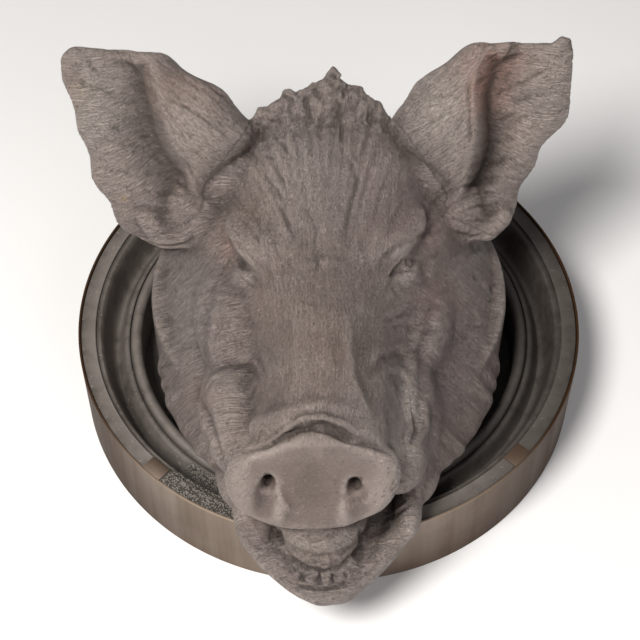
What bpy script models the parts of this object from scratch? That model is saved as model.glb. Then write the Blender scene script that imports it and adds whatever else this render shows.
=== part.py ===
"""Boar's head in terracotta on a round moulded plinth with a bronze band. Metres, +Z up, snout towards -Y.

The origin is the centre of the plinth's underside. The head is made as clay is: masses are pressed
together, fused and smoothed, and then worked with strokes that raise or sink the surface. Its masses
and strokes are shares of HEAD_UNIT, about two thirds of the length from crest to snout. They are
measured from the point on the plinth's axis that is level with the rim, with the snout towards -Y.
"""

import math

import bmesh
import bpy
import numpy as np
from mathutils import Euler, Matrix, Vector

# Plinth: a turned disc with a moulded rim and a well that the neck stands in
BAND_RADIUS = 0.200
BAND_THICKNESS = 0.0018
PLINTH_HEIGHT = 0.070
PLINTH_FLOOR = 0.012
RIM_WIDTH = 0.0115
QUIRK_WIDTH = 0.0012
QUIRK_DEPTH = 0.0022
COVE_WIDTH = 0.024
COVE_DEPTH = 0.030
RIDGE_DROP = 0.019
BEAD_RADIUS = 0.0045
ROUND_STEPS = 72

# Bronze band and the tabs that fold over the rim
BAND_RISE = 0.0012
TAB_COUNT = 4
TAB_WIDTH = 0.0175
TAB_REACH = 0.0135
TAB_TURN = math.radians(-42.5)

# Fits
SEAT_GAP = 0.0003
BAND_GAP = 0.0004
NECK_GAP = 0.012
JAW_GAP = 0.0020

# Head
HEAD_UNIT = 0.200
NECK_FOOT = -0.35
CLAY_VOXEL = 0.0030
CLAY_SMOOTHING_STEPS = 14
DETAIL_SMOOTHING_STEPS = 2
HEAD_FACES = 8000
EAR_THICKNESS = 0.0085

PLINTH_RADIUS = BAND_RADIUS - BAND_THICKNESS - BAND_GAP

# Lines of the head, as (distance along Y, value) in head units
CROWN_LINE = ((-1.00, 0.66), (-0.86, 0.71), (-0.60, 0.72), (-0.30, 0.705), (0.0, 0.745), (0.25, 0.79),
              (0.42, 0.76), (0.56, 0.58), (0.64, 0.36))
BROW_REACH = ((-1.00, 0.13), (-0.70, 0.14), (-0.45, 0.16), (-0.25, 0.22), (0.0, 0.25), (0.30, 0.22),
              (0.64, 0.08))
CHEEK_REACH = ((-1.00, 0.21), (-0.85, 0.24), (-0.70, 0.27), (-0.55, 0.31), (-0.40, 0.39), (-0.20, 0.49),
               (0.0, 0.53), (0.25, 0.51), (0.45, 0.38), (0.64, 0.12))
CHEEK_LEVEL = ((-1.00, 0.50), (-0.70, 0.47), (-0.40, 0.42), (0.0, 0.40), (0.40, 0.38), (0.64, 0.24))
RUFF_REACH = ((-1.00, 0.20), (-0.90, 0.30), (-0.82, 0.39), (-0.69, 0.50), (-0.53, 0.59), (-0.37, 0.645),
              (-0.18, 0.675), (0.0, 0.68), (0.17, 0.65), (0.30, 0.58), (0.45, 0.44), (0.64, 0.14))
RUFF_LEVEL = ((-1.00, 0.38), (-0.90, 0.26), (-0.80, 0.14), (-0.65, 0.07), (-0.40, 0.05), (0.0, 0.06),
              (0.64, 0.08))
UNDER_LEVEL = ((-1.00, 0.32), (-0.90, 0.25), (-0.80, 0.12), (-0.65, 0.02), (-0.40, -0.02), (0.64, -0.02))

RUFF_LOCKS = 0.011

# Disc of the snout
DISC_CENTRE = (-0.060, -1.035, 0.475)
DISC_TILT = math.radians(20.0)
DISC_HALF_WIDTH = 0.312
DISC_HALF_HEIGHT = 0.222
DISC_DEPTH = 0.13

# The face is drawn as it is seen from the front and above, from a point this far off in head units
VIEW_RISE = math.radians(54.0)
VIEW_DISTANCE = 6.5
VIEW = (0.0, -math.cos(VIEW_RISE), math.sin(VIEW_RISE))
VIEW_UP = (0.0, math.sin(VIEW_RISE), math.cos(VIEW_RISE))

# Ears, in each ear's own plane: U runs from base to tip, the edges lie to the sides of that line
EAR_LENGTH = 0.70
EAR_FLARE = 0.25
EAR_ROOT_LEFT = (-0.52, 0.12, 0.55)
EAR_ROOT_RIGHT = (0.50, 0.13, 0.55)
EAR_TIP_LEFT = (-0.84, 0.38, 1.12)
EAR_TIP_RIGHT = (0.80, 0.40, 1.12)
EAR_FOOT = -0.20
EAR_TIP_SLANT = 0.07
EAR_TIP_ROUNDING = 0.045
INNER_EDGE_LEFT = ((-0.20, 0.03), (0.0, 0.06), (0.10, 0.15), (0.20, 0.33), (0.32, 0.345), (0.45, 0.325),
                   (0.66, 0.25), (0.86, 0.165), (1.0, 0.11))
OUTER_EDGE_LEFT = ((-0.20, 0.06), (-0.12, 0.19), (0.0, 0.25), (0.27, 0.27), (0.48, 0.245), (0.73, 0.195),
                   (0.90, 0.17), (1.0, 0.12))
RIDGE_LEFT = ((-0.20, -0.5), (0.0, -0.45), (0.20, -0.30), (0.40, -0.27), (0.54, -0.36), (0.66, -0.52),
              (0.78, -0.75), (0.90, -0.93), (1.0, -0.95))
INNER_EDGE_RIGHT = ((-0.20, 0.03), (0.0, 0.06), (0.10, 0.13), (0.20, 0.32), (0.30, 0.38), (0.45, 0.365),
                    (0.66, 0.315), (0.85, 0.225), (1.0, 0.15))
OUTER_EDGE_RIGHT = ((-0.20, 0.05), (-0.10, 0.15), (0.0, 0.18), (0.20, 0.17), (0.45, 0.155), (0.65, 0.18),
                    (0.85, 0.14), (1.0, 0.035))
RIDGE_RIGHT = ((-0.20, -0.5), (0.0, -0.40), (0.20, -0.20), (0.36, -0.25), (0.50, -0.42), (0.62, -0.60),
               (0.72, -0.74), (0.84, -0.90), (1.0, -0.95))
RIDGE_COLUMN = -0.4
FLAP_RELIEF = ((0.0, 0.11), (0.25, 0.10), (0.60, 0.05), (0.82, -0.02), (1.0, -0.15))
BLADE_RELIEF = ((0.0, 0.11), (0.05, 0.06), (0.12, -0.08), (0.22, -0.11), (0.40, -0.07), (0.62, 0.0),
                (0.82, 0.015), (1.0, -0.015))

CLAY = dict(color=(0.20, 0.155, 0.135), roughness=0.72, metallic=0.0)
DARK_CLAY = dict(color=(0.085, 0.066, 0.054), roughness=0.62, metallic=0.0)
BRONZE = dict(color=(0.16, 0.095, 0.05), roughness=0.38, metallic=1.0)


def clear_scene():
    for obj in list(bpy.data.objects):
        bpy.data.objects.remove(obj)


def new_collection(name):
    collection = bpy.data.collections.new(name)
    bpy.context.scene.collection.children.link(collection)
    return collection


def material(name, color, roughness, metallic):
    made = bpy.data.materials.new(name)
    made.use_nodes = True
    shader = made.node_tree.nodes["Principled BSDF"]
    shader.inputs["Base Color"].default_value = (*color, 1.0)
    shader.inputs["Roughness"].default_value = roughness
    shader.inputs["Metallic"].default_value = metallic
    return made


def object_from(bm, name, collection, finish=None):
    mesh = bpy.data.meshes.new(name)
    bm.to_mesh(mesh)
    bm.free()
    obj = bpy.data.objects.new(name, mesh)
    collection.objects.link(obj)
    if finish:
        mesh.materials.append(finish)
    return obj


def bake(obj):
    """Puts the mesh that the object's modifiers make in place of its mesh and modifiers."""
    graph = bpy.context.evaluated_depsgraph_get()
    mesh = bpy.data.meshes.new_from_object(obj.evaluated_get(graph))
    obj.modifiers.clear()
    obj.data = mesh


def shade_smooth(obj, angle):
    mesh = obj.data
    mesh.shade_smooth()
    mesh.set_sharp_from_angle(angle=math.radians(angle))


def flow(keys, x):
    """A smooth curve through (x, value) keys."""
    keys = np.asarray(keys, float)
    spots, values = keys[:, 0], keys[:, 1]
    slopes = np.gradient(values, spots)
    x = np.clip(x, spots[0], spots[-1])
    i = np.clip(np.searchsorted(spots, x, side="right") - 1, 0, len(spots) - 2)
    width = spots[i + 1] - spots[i]
    t = (x - spots[i]) / width
    start = (2 * t**3 - 3 * t**2 + 1) * values[i] + (t**3 - 2 * t**2 + t) * width * slopes[i]
    end = (3 * t**2 - 2 * t**3) * values[i + 1] + (t**3 - t**2) * width * slopes[i + 1]
    return start + end


def arc(centre, radius, start, end, steps):
    """Points (r, z) on an arc, by angle in degrees."""
    angles = (math.radians(start + (end - start) * i / steps) for i in range(steps + 1))
    return [(centre[0] + radius * math.cos(a), centre[1] + radius * math.sin(a)) for a in angles]


def turned(name, profile, collection, finish):
    """A (r, z) profile from axis to axis turned about Z, or a closed one away from the axis."""
    bm = bmesh.new()
    verts = [bm.verts.new((r, 0.0, z)) for r, z in profile]
    for a, b in zip(verts, verts[1:]):
        bm.edges.new((a, b))
    if profile[0][0] > 0.0:
        bm.edges.new((verts[-1], verts[0]))
    obj = object_from(bm, name, collection, finish)
    screw = obj.modifiers.new("turn", "SCREW")
    screw.steps = screw.render_steps = ROUND_STEPS
    screw.use_merge_vertices = True
    screw.merge_threshold = 0.0001
    return obj


def plinth_profile():
    """From the axis over the top and down the outer side to the axis, as (r, z); and the well's radius."""
    rim = PLINTH_RADIUS - RIM_WIDTH
    quirk = PLINTH_HEIGHT - QUIRK_DEPTH
    cove_outer = rim - QUIRK_WIDTH
    cove_inner = cove_outer - COVE_WIDTH
    ridge = PLINTH_HEIGHT - RIDGE_DROP
    cove_floor = PLINTH_HEIGHT - COVE_DEPTH
    bead_outer = cove_inner - QUIRK_WIDTH
    well = bead_outer - 2 * BEAD_RADIUS
    outline = [(0.0, PLINTH_FLOOR), (well, PLINTH_FLOOR)]
    outline += arc((well + BEAD_RADIUS, ridge), BEAD_RADIUS, 180, 0, 5)
    outline += [(bead_outer, ridge - QUIRK_DEPTH), (cove_inner, ridge - QUIRK_DEPTH)]
    cove_keys = ((0.0, ridge), (0.12, ridge), (0.42, cove_floor), (0.62, cove_floor + 0.004),
                 (0.84, quirk - 0.002), (1.0, quirk))
    steps = 9
    shares = [i / steps for i in range(steps + 1)]
    outline += [(cove_inner + COVE_WIDTH * share, float(flow(cove_keys, share))) for share in shares]
    outline += [(rim, quirk), (rim, PLINTH_HEIGHT), (PLINTH_RADIUS, PLINTH_HEIGHT), (PLINTH_RADIUS, 0.0)]
    outline += [(0.0, 0.0)]
    return outline, well


def build_band(collection, finish):
    """The hoop round the plinth and the four tabs folded over the rim, as one piece."""
    inner = BAND_RADIUS - BAND_THICKNESS
    top = PLINTH_HEIGHT + SEAT_GAP + BAND_RISE
    hoop = [(inner, top), (BAND_RADIUS, top), (BAND_RADIUS, 0.0), (inner, 0.0)]
    band = turned("bronze_band", hoop, collection, finish)
    bake(band)
    bm = bmesh.new()
    tab_low = PLINTH_HEIGHT + SEAT_GAP
    tab_inner = BAND_RADIUS - TAB_REACH
    overlap = BAND_THICKNESS / 2
    for i in range(TAB_COUNT):
        turn = Matrix.Rotation(TAB_TURN + i * math.tau / TAB_COUNT, 4, "Z")
        centre = Vector(((tab_inner + BAND_RADIUS - overlap) / 2, 0.0, (tab_low + top) / 2))
        size = (BAND_RADIUS - overlap - tab_inner, TAB_WIDTH, top - tab_low)
        place = turn @ Matrix.Translation(centre) @ Matrix.Diagonal((*size, 1.0))
        bmesh.ops.create_cube(bm, size=1.0, matrix=place)
    tabs = object_from(bm, "tabs", collection)
    join = band.modifiers.new("tabs", "BOOLEAN")
    join.operation = "UNION"
    join.solver = "EXACT"
    join.object = tabs
    bake(band)
    bpy.data.objects.remove(tabs)
    return band


# The head's own frame is in head units; to_world places it on the plinth
def to_world():
    return Matrix.Translation((0, 0, PLINTH_HEIGHT)) @ Matrix.Scale(HEAD_UNIT, 4)


def ball(bm, centre, radii, turn=(0.0, 0.0, 0.0), fineness=3):
    """One mass of clay: an ellipsoid, turned by degrees about X, Y and Z."""
    turned_by = Euler([math.radians(a) for a in turn]).to_matrix().to_4x4()
    place = Matrix.Translation(Vector(centre)) @ turned_by @ Matrix.Diagonal((*radii, 1.0))
    bmesh.ops.create_icosphere(bm, subdivisions=fineness, radius=1.0, matrix=place)


def roll(bm, points, radii, steps=6):
    """A roll of clay along the points, with a radius at each."""
    for a, b, ra, rb in zip(points, points[1:], radii, radii[1:]):
        for i in range(steps + 1):
            radius = ra + (rb - ra) * i / steps
            ball(bm, Vector(a).lerp(Vector(b), i / steps), (radius, radius, radius), fineness=2)


def skull_section(y, share):
    """A point of the right half of the head's section at y; share runs from crown to underside."""
    crown = flow(CROWN_LINE, y)
    under = flow(UNDER_LEVEL, y)
    brow = flow(BROW_REACH, y)
    cheek = flow(CHEEK_REACH, y)
    locks = RUFF_LOCKS * math.sin(46.0 * y + 3.0 * math.sin(17.0 * y)) * min(1.0, abs(y + 1.0) * 4.0)
    ruff = flow(RUFF_REACH, y) + locks
    ruff_level = flow(RUFF_LEVEL, y)
    across = ((0.0, 0.0), (0.22, brow), (0.5, cheek), (0.78, ruff), (0.84, ruff * 0.97), (1.0, 0.0))
    height = ((0.0, crown), (0.22, crown - 0.03), (0.5, flow(CHEEK_LEVEL, y)), (0.78, ruff_level),
              (0.84, (ruff_level + under) / 2), (1.0, under))
    return float(flow(across, share)), float(flow(height, share))


def skull(bm):
    """The main mass of the head, lofted along its lines from nape to snout."""
    along, around = 40, 48
    grid = bmesh.ops.create_grid(bm, x_segments=around, y_segments=along, size=1.0)["verts"]
    start, end = CROWN_LINE[0][0], CROWN_LINE[-1][0]
    for vert in grid:
        share = abs(vert.co.x)
        y = start + (end - start) * (vert.co.y + 1) / 2
        x, z = skull_section(y, share)
        vert.co = (math.copysign(x, vert.co.x), y, z)
    bmesh.ops.remove_doubles(bm, verts=grid, dist=1e-4)
    edges = [e for e in bm.edges if e.is_boundary]
    bmesh.ops.holes_fill(bm, edges=edges, sides=0)


def snout_disc(bm):
    """The flat disc of the snout: an arched, rounded plate that swells behind its face."""
    rings = ((-1.0, 0.60), (-0.75, 0.80), (-0.42, 0.93), (-0.16, 0.99), (0.02, 0.97), (0.12, 0.86),
             (0.10, 0.62), (0.05, 0.3))
    steps = 40
    up = Vector((0.0, math.sin(DISC_TILT), math.cos(DISC_TILT)))
    out = Vector((0.0, -math.cos(DISC_TILT), math.sin(DISC_TILT)))
    made = []
    for depth, scale in rings:
        circle = bmesh.ops.create_circle(bm, segments=steps, radius=1.0)["verts"]
        for i, vert in enumerate(circle):
            a = math.tau * i / steps
            c, s = math.cos(a), math.sin(a)
            p = DISC_HALF_WIDTH * math.copysign(abs(c) ** 0.80, c)
            q = DISC_HALF_HEIGHT * math.copysign(abs(s) ** 0.86, s)
            p *= 1.0 - 0.16 * max(0.0, -s) ** 1.5
            q *= 0.82 if s > 0 else 1.06
            q += 0.056 * math.exp(-(((p - 0.01) / 0.12) ** 2)) * max(0.0, s)
            q += 0.05 * p * (1 if s > 0 else 0.6)
            vert.co = Vector(DISC_CENTRE) + (Vector((1, 0, 0)) * p + up * q) * scale + out * depth * DISC_DEPTH
        made.append([e for e in bm.edges if e.verts[0] in circle and e.verts[1] in circle])
    for a, b in zip(made, made[1:]):
        bmesh.ops.bridge_loops(bm, edges=a + b)
    bmesh.ops.holes_fill(bm, edges=made[0], sides=0)
    bmesh.ops.holes_fill(bm, edges=made[-1], sides=0)


def masses(bm):
    # cheekbones, and the bulges of the upper lip beside the muzzle
    ball(bm, (-0.32, -0.30, 0.385), (0.19, 0.32, 0.175), (0, -28, 8))
    ball(bm, (0.28, -0.28, 0.385), (0.19, 0.32, 0.175), (0, 28, -8))
    ball(bm, (-0.355, -0.68, 0.33), (0.115, 0.23, 0.15), (14, 12, 12))
    ball(bm, (0.27, -0.64, 0.36), (0.11, 0.22, 0.155), (10, -12, -8))
    ball(bm, (0.35, -0.66, 0.27), (0.06, 0.18, 0.12), (10, -12, -8))
    ball(bm, (-0.27, -0.84, 0.32), (0.10, 0.15, 0.13), (0, 10, 10))
    ball(bm, (0.25, -0.84, 0.32), (0.10, 0.15, 0.13), (0, -10, -10))
    # corners of the mouth
    ball(bm, (-0.32, -0.80, 0.13), (0.10, 0.15, 0.11))
    ball(bm, (0.31, -0.78, 0.13), (0.10, 0.15, 0.11))
    # brows
    ball(bm, (-0.25, -0.12, 0.64), (0.12, 0.18, 0.06), (0, 22, 28))
    ball(bm, (0.23, -0.09, 0.64), (0.12, 0.18, 0.06), (0, -22, -28))
    # bridge of the muzzle and the roll of skin above the disc
    roll(bm, ((-0.01, -0.40, 0.57), (-0.03, -0.66, 0.58), (-0.04, -0.88, 0.57)), (0.13, 0.12, 0.14))
    roll(bm, ((-0.23, -0.88, 0.56), (-0.12, -0.90, 0.645), (-0.04, -0.90, 0.67), (0.05, -0.90, 0.645),
              (0.15, -0.88, 0.56)), (0.055, 0.06, 0.06, 0.06, 0.055))
    # roots of the ears, and the lobes at their feet
    ball(bm, (-0.40, 0.25, 0.55), (0.19, 0.17, 0.19), (0, -25, 0))
    ball(bm, (0.37, 0.26, 0.55), (0.18, 0.17, 0.19), (0, 25, 0))
    ball(bm, (-0.50, 0.14, 0.48), (0.14, 0.14, 0.15))
    ball(bm, (0.48, 0.15, 0.48), (0.13, 0.14, 0.15))
    roll(bm, ((-0.69, 0.07, 0.53), (-0.63, 0.03, 0.47), (-0.55, 0.04, 0.45)), (0.045, 0.05, 0.045))
    roll(bm, ((0.66, 0.08, 0.53), (0.60, 0.05, 0.48), (0.53, 0.07, 0.47)), (0.04, 0.045, 0.04))


def jaw(bm):
    # floor of the mouth and chin
    ball(bm, (0.0, -0.82, 0.03), (0.34, 0.20, 0.10))
    ball(bm, (-0.01, -0.97, 0.02), (0.25, 0.15, 0.09))
    ball(bm, (-0.01, -1.09, -0.02), (0.14, 0.12, 0.10))
    # lower lip, from corner to corner
    lip = ((-0.31, -0.86, 0.17), (-0.305, -0.97, 0.13), (-0.285, -1.03, 0.08), (-0.22, -1.10, 0.03),
           (-0.125, -1.165, -0.01), (-0.035, -1.205, -0.03), (0.045, -1.195, -0.03), (0.13, -1.14, 0.0),
           (0.21, -1.075, 0.05), (0.27, -1.01, 0.11), (0.30, -0.94, 0.18), (0.325, -0.89, 0.225))
    roll(bm, lip, (0.05, 0.05, 0.05, 0.05, 0.052, 0.055, 0.055, 0.05, 0.048, 0.045, 0.035, 0.022), 5)
    roll(bm, ((-0.19, -1.05, -0.02), (-0.01, -1.14, -0.075), (0.15, -1.06, -0.02)), (0.07, 0.07, 0.07), 6)
    ball(bm, (0.285, -0.96, 0.12), (0.05, 0.10, 0.10))
    ball(bm, (-0.27, -0.97, 0.09), (0.07, 0.10, 0.06))
    # tongue
    ball(bm, (-0.032, -0.985, 0.135), (0.15, 0.19, 0.085), (-24, 0, 0))
    ball(bm, (-0.035, -1.045, 0.075), (0.135, 0.115, 0.07), (-30, 0, 0))
    # teeth of the lower jaw
    for x, y, size in ((-0.105, -1.125, 0.022), (-0.06, -1.15, 0.026), (-0.01, -1.16, 0.026),
                       (0.04, -1.15, 0.024), (0.08, -1.125, 0.022)):
        ball(bm, (x, y, 0.032), (size, size * 0.8, 0.04), (20, 0, 0))


def crest(bm):
    """Tufts of the mane that stand in a ragged fan between the ears."""
    tufts = ((-0.355, 0.32, 0.715, 0.05), (-0.30, 0.37, 0.765, 0.05), (-0.255, 0.41, 0.80, 0.045),
             (-0.20, 0.41, 0.83, 0.04), (-0.155, 0.44, 0.865, 0.045), (-0.10, 0.43, 0.865, 0.04),
             (-0.055, 0.45, 0.885, 0.04), (-0.01, 0.45, 0.92, 0.038), (0.022, 0.47, 0.95, 0.036),
             (0.065, 0.44, 0.885, 0.038), (0.11, 0.43, 0.895, 0.04), (0.15, 0.41, 0.85, 0.04),
             (0.185, 0.40, 0.83, 0.04), (0.22, 0.37, 0.79, 0.042), (0.25, 0.33, 0.735, 0.045))
    for x, y, z, radius in tufts:
        root = (x * 0.62, y - 0.20, 0.60)
        shoulder = (x * 0.88, y - 0.07, z - 0.12)
        roll(bm, (root, shoulder, (x, y, z - radius)), (radius * 1.3, radius * 1.2, radius * 0.7), 5)


def ear(root, tip, inner_edge, outer_edge, ridge_line, side):
    """A scooped blade: its inner margin is a flap that turns back from a ridge, with the hollow beside it."""
    bm = bmesh.new()
    across, along = 44, 34
    root, tip, view = Vector(root), Vector(tip), Vector(VIEW)
    axis = (tip - root).normalized()
    face = view + Vector((side * EAR_FLARE, 0.0, 0.0))
    face = (face - axis * face.dot(axis)).normalized()
    outward = axis.cross(face) * side
    for vert in bmesh.ops.create_grid(bm, x_segments=across, y_segments=along, size=1.0)["verts"]:
        u = EAR_FOOT + (1.0 - EAR_FOOT) * (vert.co.y + 1) / 2
        inner = float(flow(inner_edge, u))
        outer = float(flow(outer_edge, u))
        ridge = float(flow(ridge_line, u))
        s = float(np.interp(vert.co.x, (-1.0, RIDGE_COLUMN, 1.0), (-1.0, ridge, 1.0)))
        reach = s * outer if s > 0 else s * inner
        if s < ridge:
            depth = float(flow(FLAP_RELIEF, (ridge - s) / (1 + ridge)))
        else:
            depth = float(flow(BLADE_RELIEF, (s - ridge) / (1 - ridge)))
        if depth > 0:
            depth *= 0.15 + 0.85 * min(1.0, max(0.0, (u + 0.05) / 0.35))
        depth *= 1.0 - 0.75 * max(0.0, u) ** 1.6
        tip_rise = (EAR_TIP_SLANT * s - EAR_TIP_ROUNDING * abs(s) ** 5) * max(0.0, u - 0.8) / 0.2
        wave = 0.010 * math.sin(u * 21.0) * abs(s) ** 4
        vert.co = root + axis * (u * EAR_LENGTH + tip_rise) + outward * (reach + wave) + view * depth
    bmesh.ops.transform(bm, matrix=to_world(), verts=bm.verts)
    return bm


def add_ears(collection):
    ears = []
    for root, tip, inner_edge, outer_edge, ridge_line, side in (
        (EAR_ROOT_LEFT, EAR_TIP_LEFT, INNER_EDGE_LEFT, OUTER_EDGE_LEFT, RIDGE_LEFT, -1),
        (EAR_ROOT_RIGHT, EAR_TIP_RIGHT, INNER_EDGE_RIGHT, OUTER_EDGE_RIGHT, RIDGE_RIGHT, 1),
    ):
        obj = object_from(ear(root, tip, inner_edge, outer_edge, ridge_line, side), "ear", collection)
        thicken = obj.modifiers.new("thicken", "SOLIDIFY")
        thicken.thickness = EAR_THICKNESS
        thicken.offset = 0.0
        bake(obj)
        ears.append(obj)
    return ears


def surface(obj):
    """The object's points and normals in the head's own frame."""
    mesh = obj.data
    points = np.empty(len(mesh.vertices) * 3)
    normals = np.empty(len(mesh.vertices) * 3)
    mesh.vertices.foreach_get("co", points)
    mesh.vertex_normals.foreach_get("vector", normals)
    points = (points.reshape(-1, 3) - (0.0, 0.0, PLINTH_HEIGHT)) / HEAD_UNIT
    return points, normals.reshape(-1, 3)


def reshape(obj, points):
    world = points * HEAD_UNIT + (0.0, 0.0, PLINTH_HEIGHT)
    obj.data.vertices.foreach_set("co", world.ravel())
    obj.data.update()


def seen(points):
    """Where each point lies in the drawing of the face, in head units across and up."""
    away = (VIEW_DISTANCE - points @ np.array(VIEW)) / VIEW_DISTANCE
    return np.stack((points[:, 0] / away, points @ np.array(VIEW_UP) / away), axis=1)


def swell(points, normals, drawn, centre, radii, amount, way=None):
    """Raises the surface near a spot of the drawing, or sinks it where amount is negative."""
    reach = (((drawn - centre) / radii) ** 2).sum(axis=1)
    facing = np.clip(normals @ np.array(VIEW) * 4.0, 0.0, 1.0)
    weight = np.clip(1.0 - reach, 0.0, 1.0) ** 2 * facing
    direction = normals if way is None else np.asarray(way)
    points += direction * (weight * amount)[:, None]


def stroke(points, normals, drawn, path, width, amount, taper=0.25):
    """A ridge along a path of the drawing, or a groove where amount is negative; it fades at both ends."""
    path = np.asarray(path, float)
    lengths = np.linalg.norm(np.diff(path, axis=0), axis=1)
    total = lengths.sum()
    nearest = np.full(len(points), np.inf)
    along = np.zeros(len(points))
    done = 0.0
    for a, b, length in zip(path, path[1:], lengths):
        t = np.clip(((drawn - a) @ (b - a)) / length**2, 0.0, 1.0)
        distance = np.linalg.norm(drawn - a - t[:, None] * (b - a), axis=1)
        closer = distance < nearest
        nearest = np.where(closer, distance, nearest)
        along = np.where(closer, (done + t * length) / total, along)
        done += length
    facing = np.clip(normals @ np.array(VIEW) * 4.0, 0.0, 1.0)
    fade = np.clip(np.minimum(along, 1.0 - along) / taper, 0.0, 1.0) ** 0.7
    weight = np.exp(-((nearest / width) ** 2)) * fade * facing
    points += normals * (weight * amount)[:, None]


def work_face(obj):
    """Strokes for the eyes, nostrils, folds and the locks of the brow."""
    points, normals = surface(obj)
    drawn = seen(points)
    out = np.array((0.0, -math.cos(DISC_TILT), math.sin(DISC_TILT)))

    def raised(centre, radii, amount, way=None):
        swell(points, normals, drawn, centre, radii, amount, way)

    def drawn_line(path, width, amount, taper=0.25):
        stroke(points, normals, drawn, path, width, amount, taper)

    # eyes: a hollow, the ball in it, a lid above and below, and the fold of the brow
    raised((-0.335, 0.17), (0.12, 0.12), -0.024)
    raised((0.30, 0.19), (0.12, 0.12), -0.024)
    raised((-0.26, 0.28), (0.12, 0.11), 0.024)
    raised((0.22, 0.29), (0.12, 0.11), 0.024)
    raised((-0.355, 0.165), (0.065, 0.075), 0.026)
    raised((0.325, 0.185), (0.065, 0.075), 0.026)
    drawn_line(((-0.375, 0.265), (-0.32, 0.225), (-0.26, 0.14)), 0.020, 0.016)
    drawn_line(((0.345, 0.285), (0.28, 0.23), (0.215, 0.13)), 0.020, 0.016)
    drawn_line(((-0.385, 0.245), (-0.335, 0.195), (-0.275, 0.11)), 0.014, -0.016)
    drawn_line(((0.355, 0.255), (0.30, 0.20), (0.225, 0.10)), 0.014, -0.016)
    drawn_line(((-0.375, 0.305), (-0.31, 0.255), (-0.245, 0.17)), 0.015, -0.018)
    drawn_line(((0.33, 0.33), (0.25, 0.26), (0.19, 0.17)), 0.015, -0.018)
    # nostrils and the troughs that run down and inwards from them
    for a, b, side in ((-0.250, -0.680, -1), (0.098, -0.690, 1)):
        raised((a + side * 0.012, b - 0.055), (0.06, 0.105), -0.035, out)
        raised((a, b), (0.034, 0.044), -0.14, out)
        raised((a + side * 0.10, b - 0.02), (0.09, 0.15), 0.018, out)
        raised((a - side * 0.045, b - 0.10), (0.06, 0.08), 0.016, out)
    raised((-0.075, -0.70), (0.11, 0.17), -0.03, out)
    # folds of skin above the disc
    drawn_line(((-0.37, -0.555), (-0.24, -0.505), (-0.12, -0.455), (-0.03, -0.445), (0.05, -0.47),
                (0.14, -0.515), (0.26, -0.54)), 0.022, -0.050)
    drawn_line(((-0.22, -0.43), (-0.12, -0.385), (-0.02, -0.375), (0.08, -0.405), (0.14, -0.46)), 0.017, -0.014)
    # edge of the bridge, and the folds round the cheekbones and the lips
    drawn_line(((0.07, 0.02), (0.075, -0.12), (0.085, -0.25), (0.15, -0.40)), 0.022, 0.014)
    drawn_line(((0.13, 0.02), (0.14, -0.12), (0.15, -0.24), (0.21, -0.40)), 0.035, -0.018)
    drawn_line(((-0.20, 0.08), (-0.185, -0.08), (-0.18, -0.22), (-0.25, -0.38)), 0.035, -0.014)
    drawn_line(((-0.40, 0.16), (-0.47, 0.10), (-0.51, 0.0), (-0.52, -0.11), (-0.51, -0.20), (-0.53, -0.30),
                (-0.49, -0.42), (-0.46, -0.52), (-0.42, -0.62)), 0.022, -0.018)
    drawn_line(((0.42, 0.10), (0.40, -0.05), (0.37, -0.14), (0.385, -0.28), (0.36, -0.42), (0.33, -0.52)),
               0.022, -0.016)
    drawn_line(((-0.51, -0.235), (-0.46, -0.20), (-0.40, -0.185), (-0.33, -0.20), (-0.28, -0.26)),
               0.018, -0.016)
    drawn_line(((0.17, -0.24), (0.22, -0.17), (0.28, -0.155), (0.34, -0.19)), 0.018, -0.014)
    # grooves between the locks that rise from the brow to the mane
    for a, b in ((-0.37, 0.74), (-0.30, 0.80), (-0.23, 0.86), (-0.165, 0.88), (-0.10, 0.89), (-0.04, 0.90),
                 (0.02, 0.93), (0.07, 0.89), (0.13, 0.86), (0.18, 0.82), (0.23, 0.77)):
        drawn_line(((a * 0.25, 0.22), (a * 0.55, 0.48), (a, b)), 0.014, -0.010)
    reshape(obj, points)


def fuse(obj, voxel, passes):
    """Makes one skin of overlapping masses and softens it."""
    remesh = obj.modifiers.new("fuse", "REMESH")
    remesh.mode = "VOXEL"
    remesh.voxel_size = voxel
    soften = obj.modifiers.new("soften", "SMOOTH")
    soften.factor = 0.5
    soften.iterations = passes
    bake(obj)


def joined(objects, name):
    """One object from several meshes."""
    bm = bmesh.new()
    for obj in objects:
        bm.from_mesh(obj.data)
    collection = objects[0].users_collection[0]
    for obj in objects:
        bpy.data.objects.remove(obj)
    return object_from(bm, name, collection)


def space_of_plinth(collection, well):
    """The room that the plinth and band take, with the gaps that the head keeps from them."""
    neck = well - NECK_GAP
    seat = PLINTH_FLOOR + SEAT_GAP
    over = PLINTH_HEIGHT + SEAT_GAP + BAND_RISE + JAW_GAP
    outer = BAND_RADIUS + JAW_GAP
    below = -PLINTH_HEIGHT
    outline = [(0.0, seat), (neck, seat), (neck, over), (outer, over), (outer, below), (0.0, below)]
    space = turned("space_of_plinth", outline, collection, None)
    bake(space)
    space.hide_render = True
    space.display_type = "WIRE"
    return space


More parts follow.
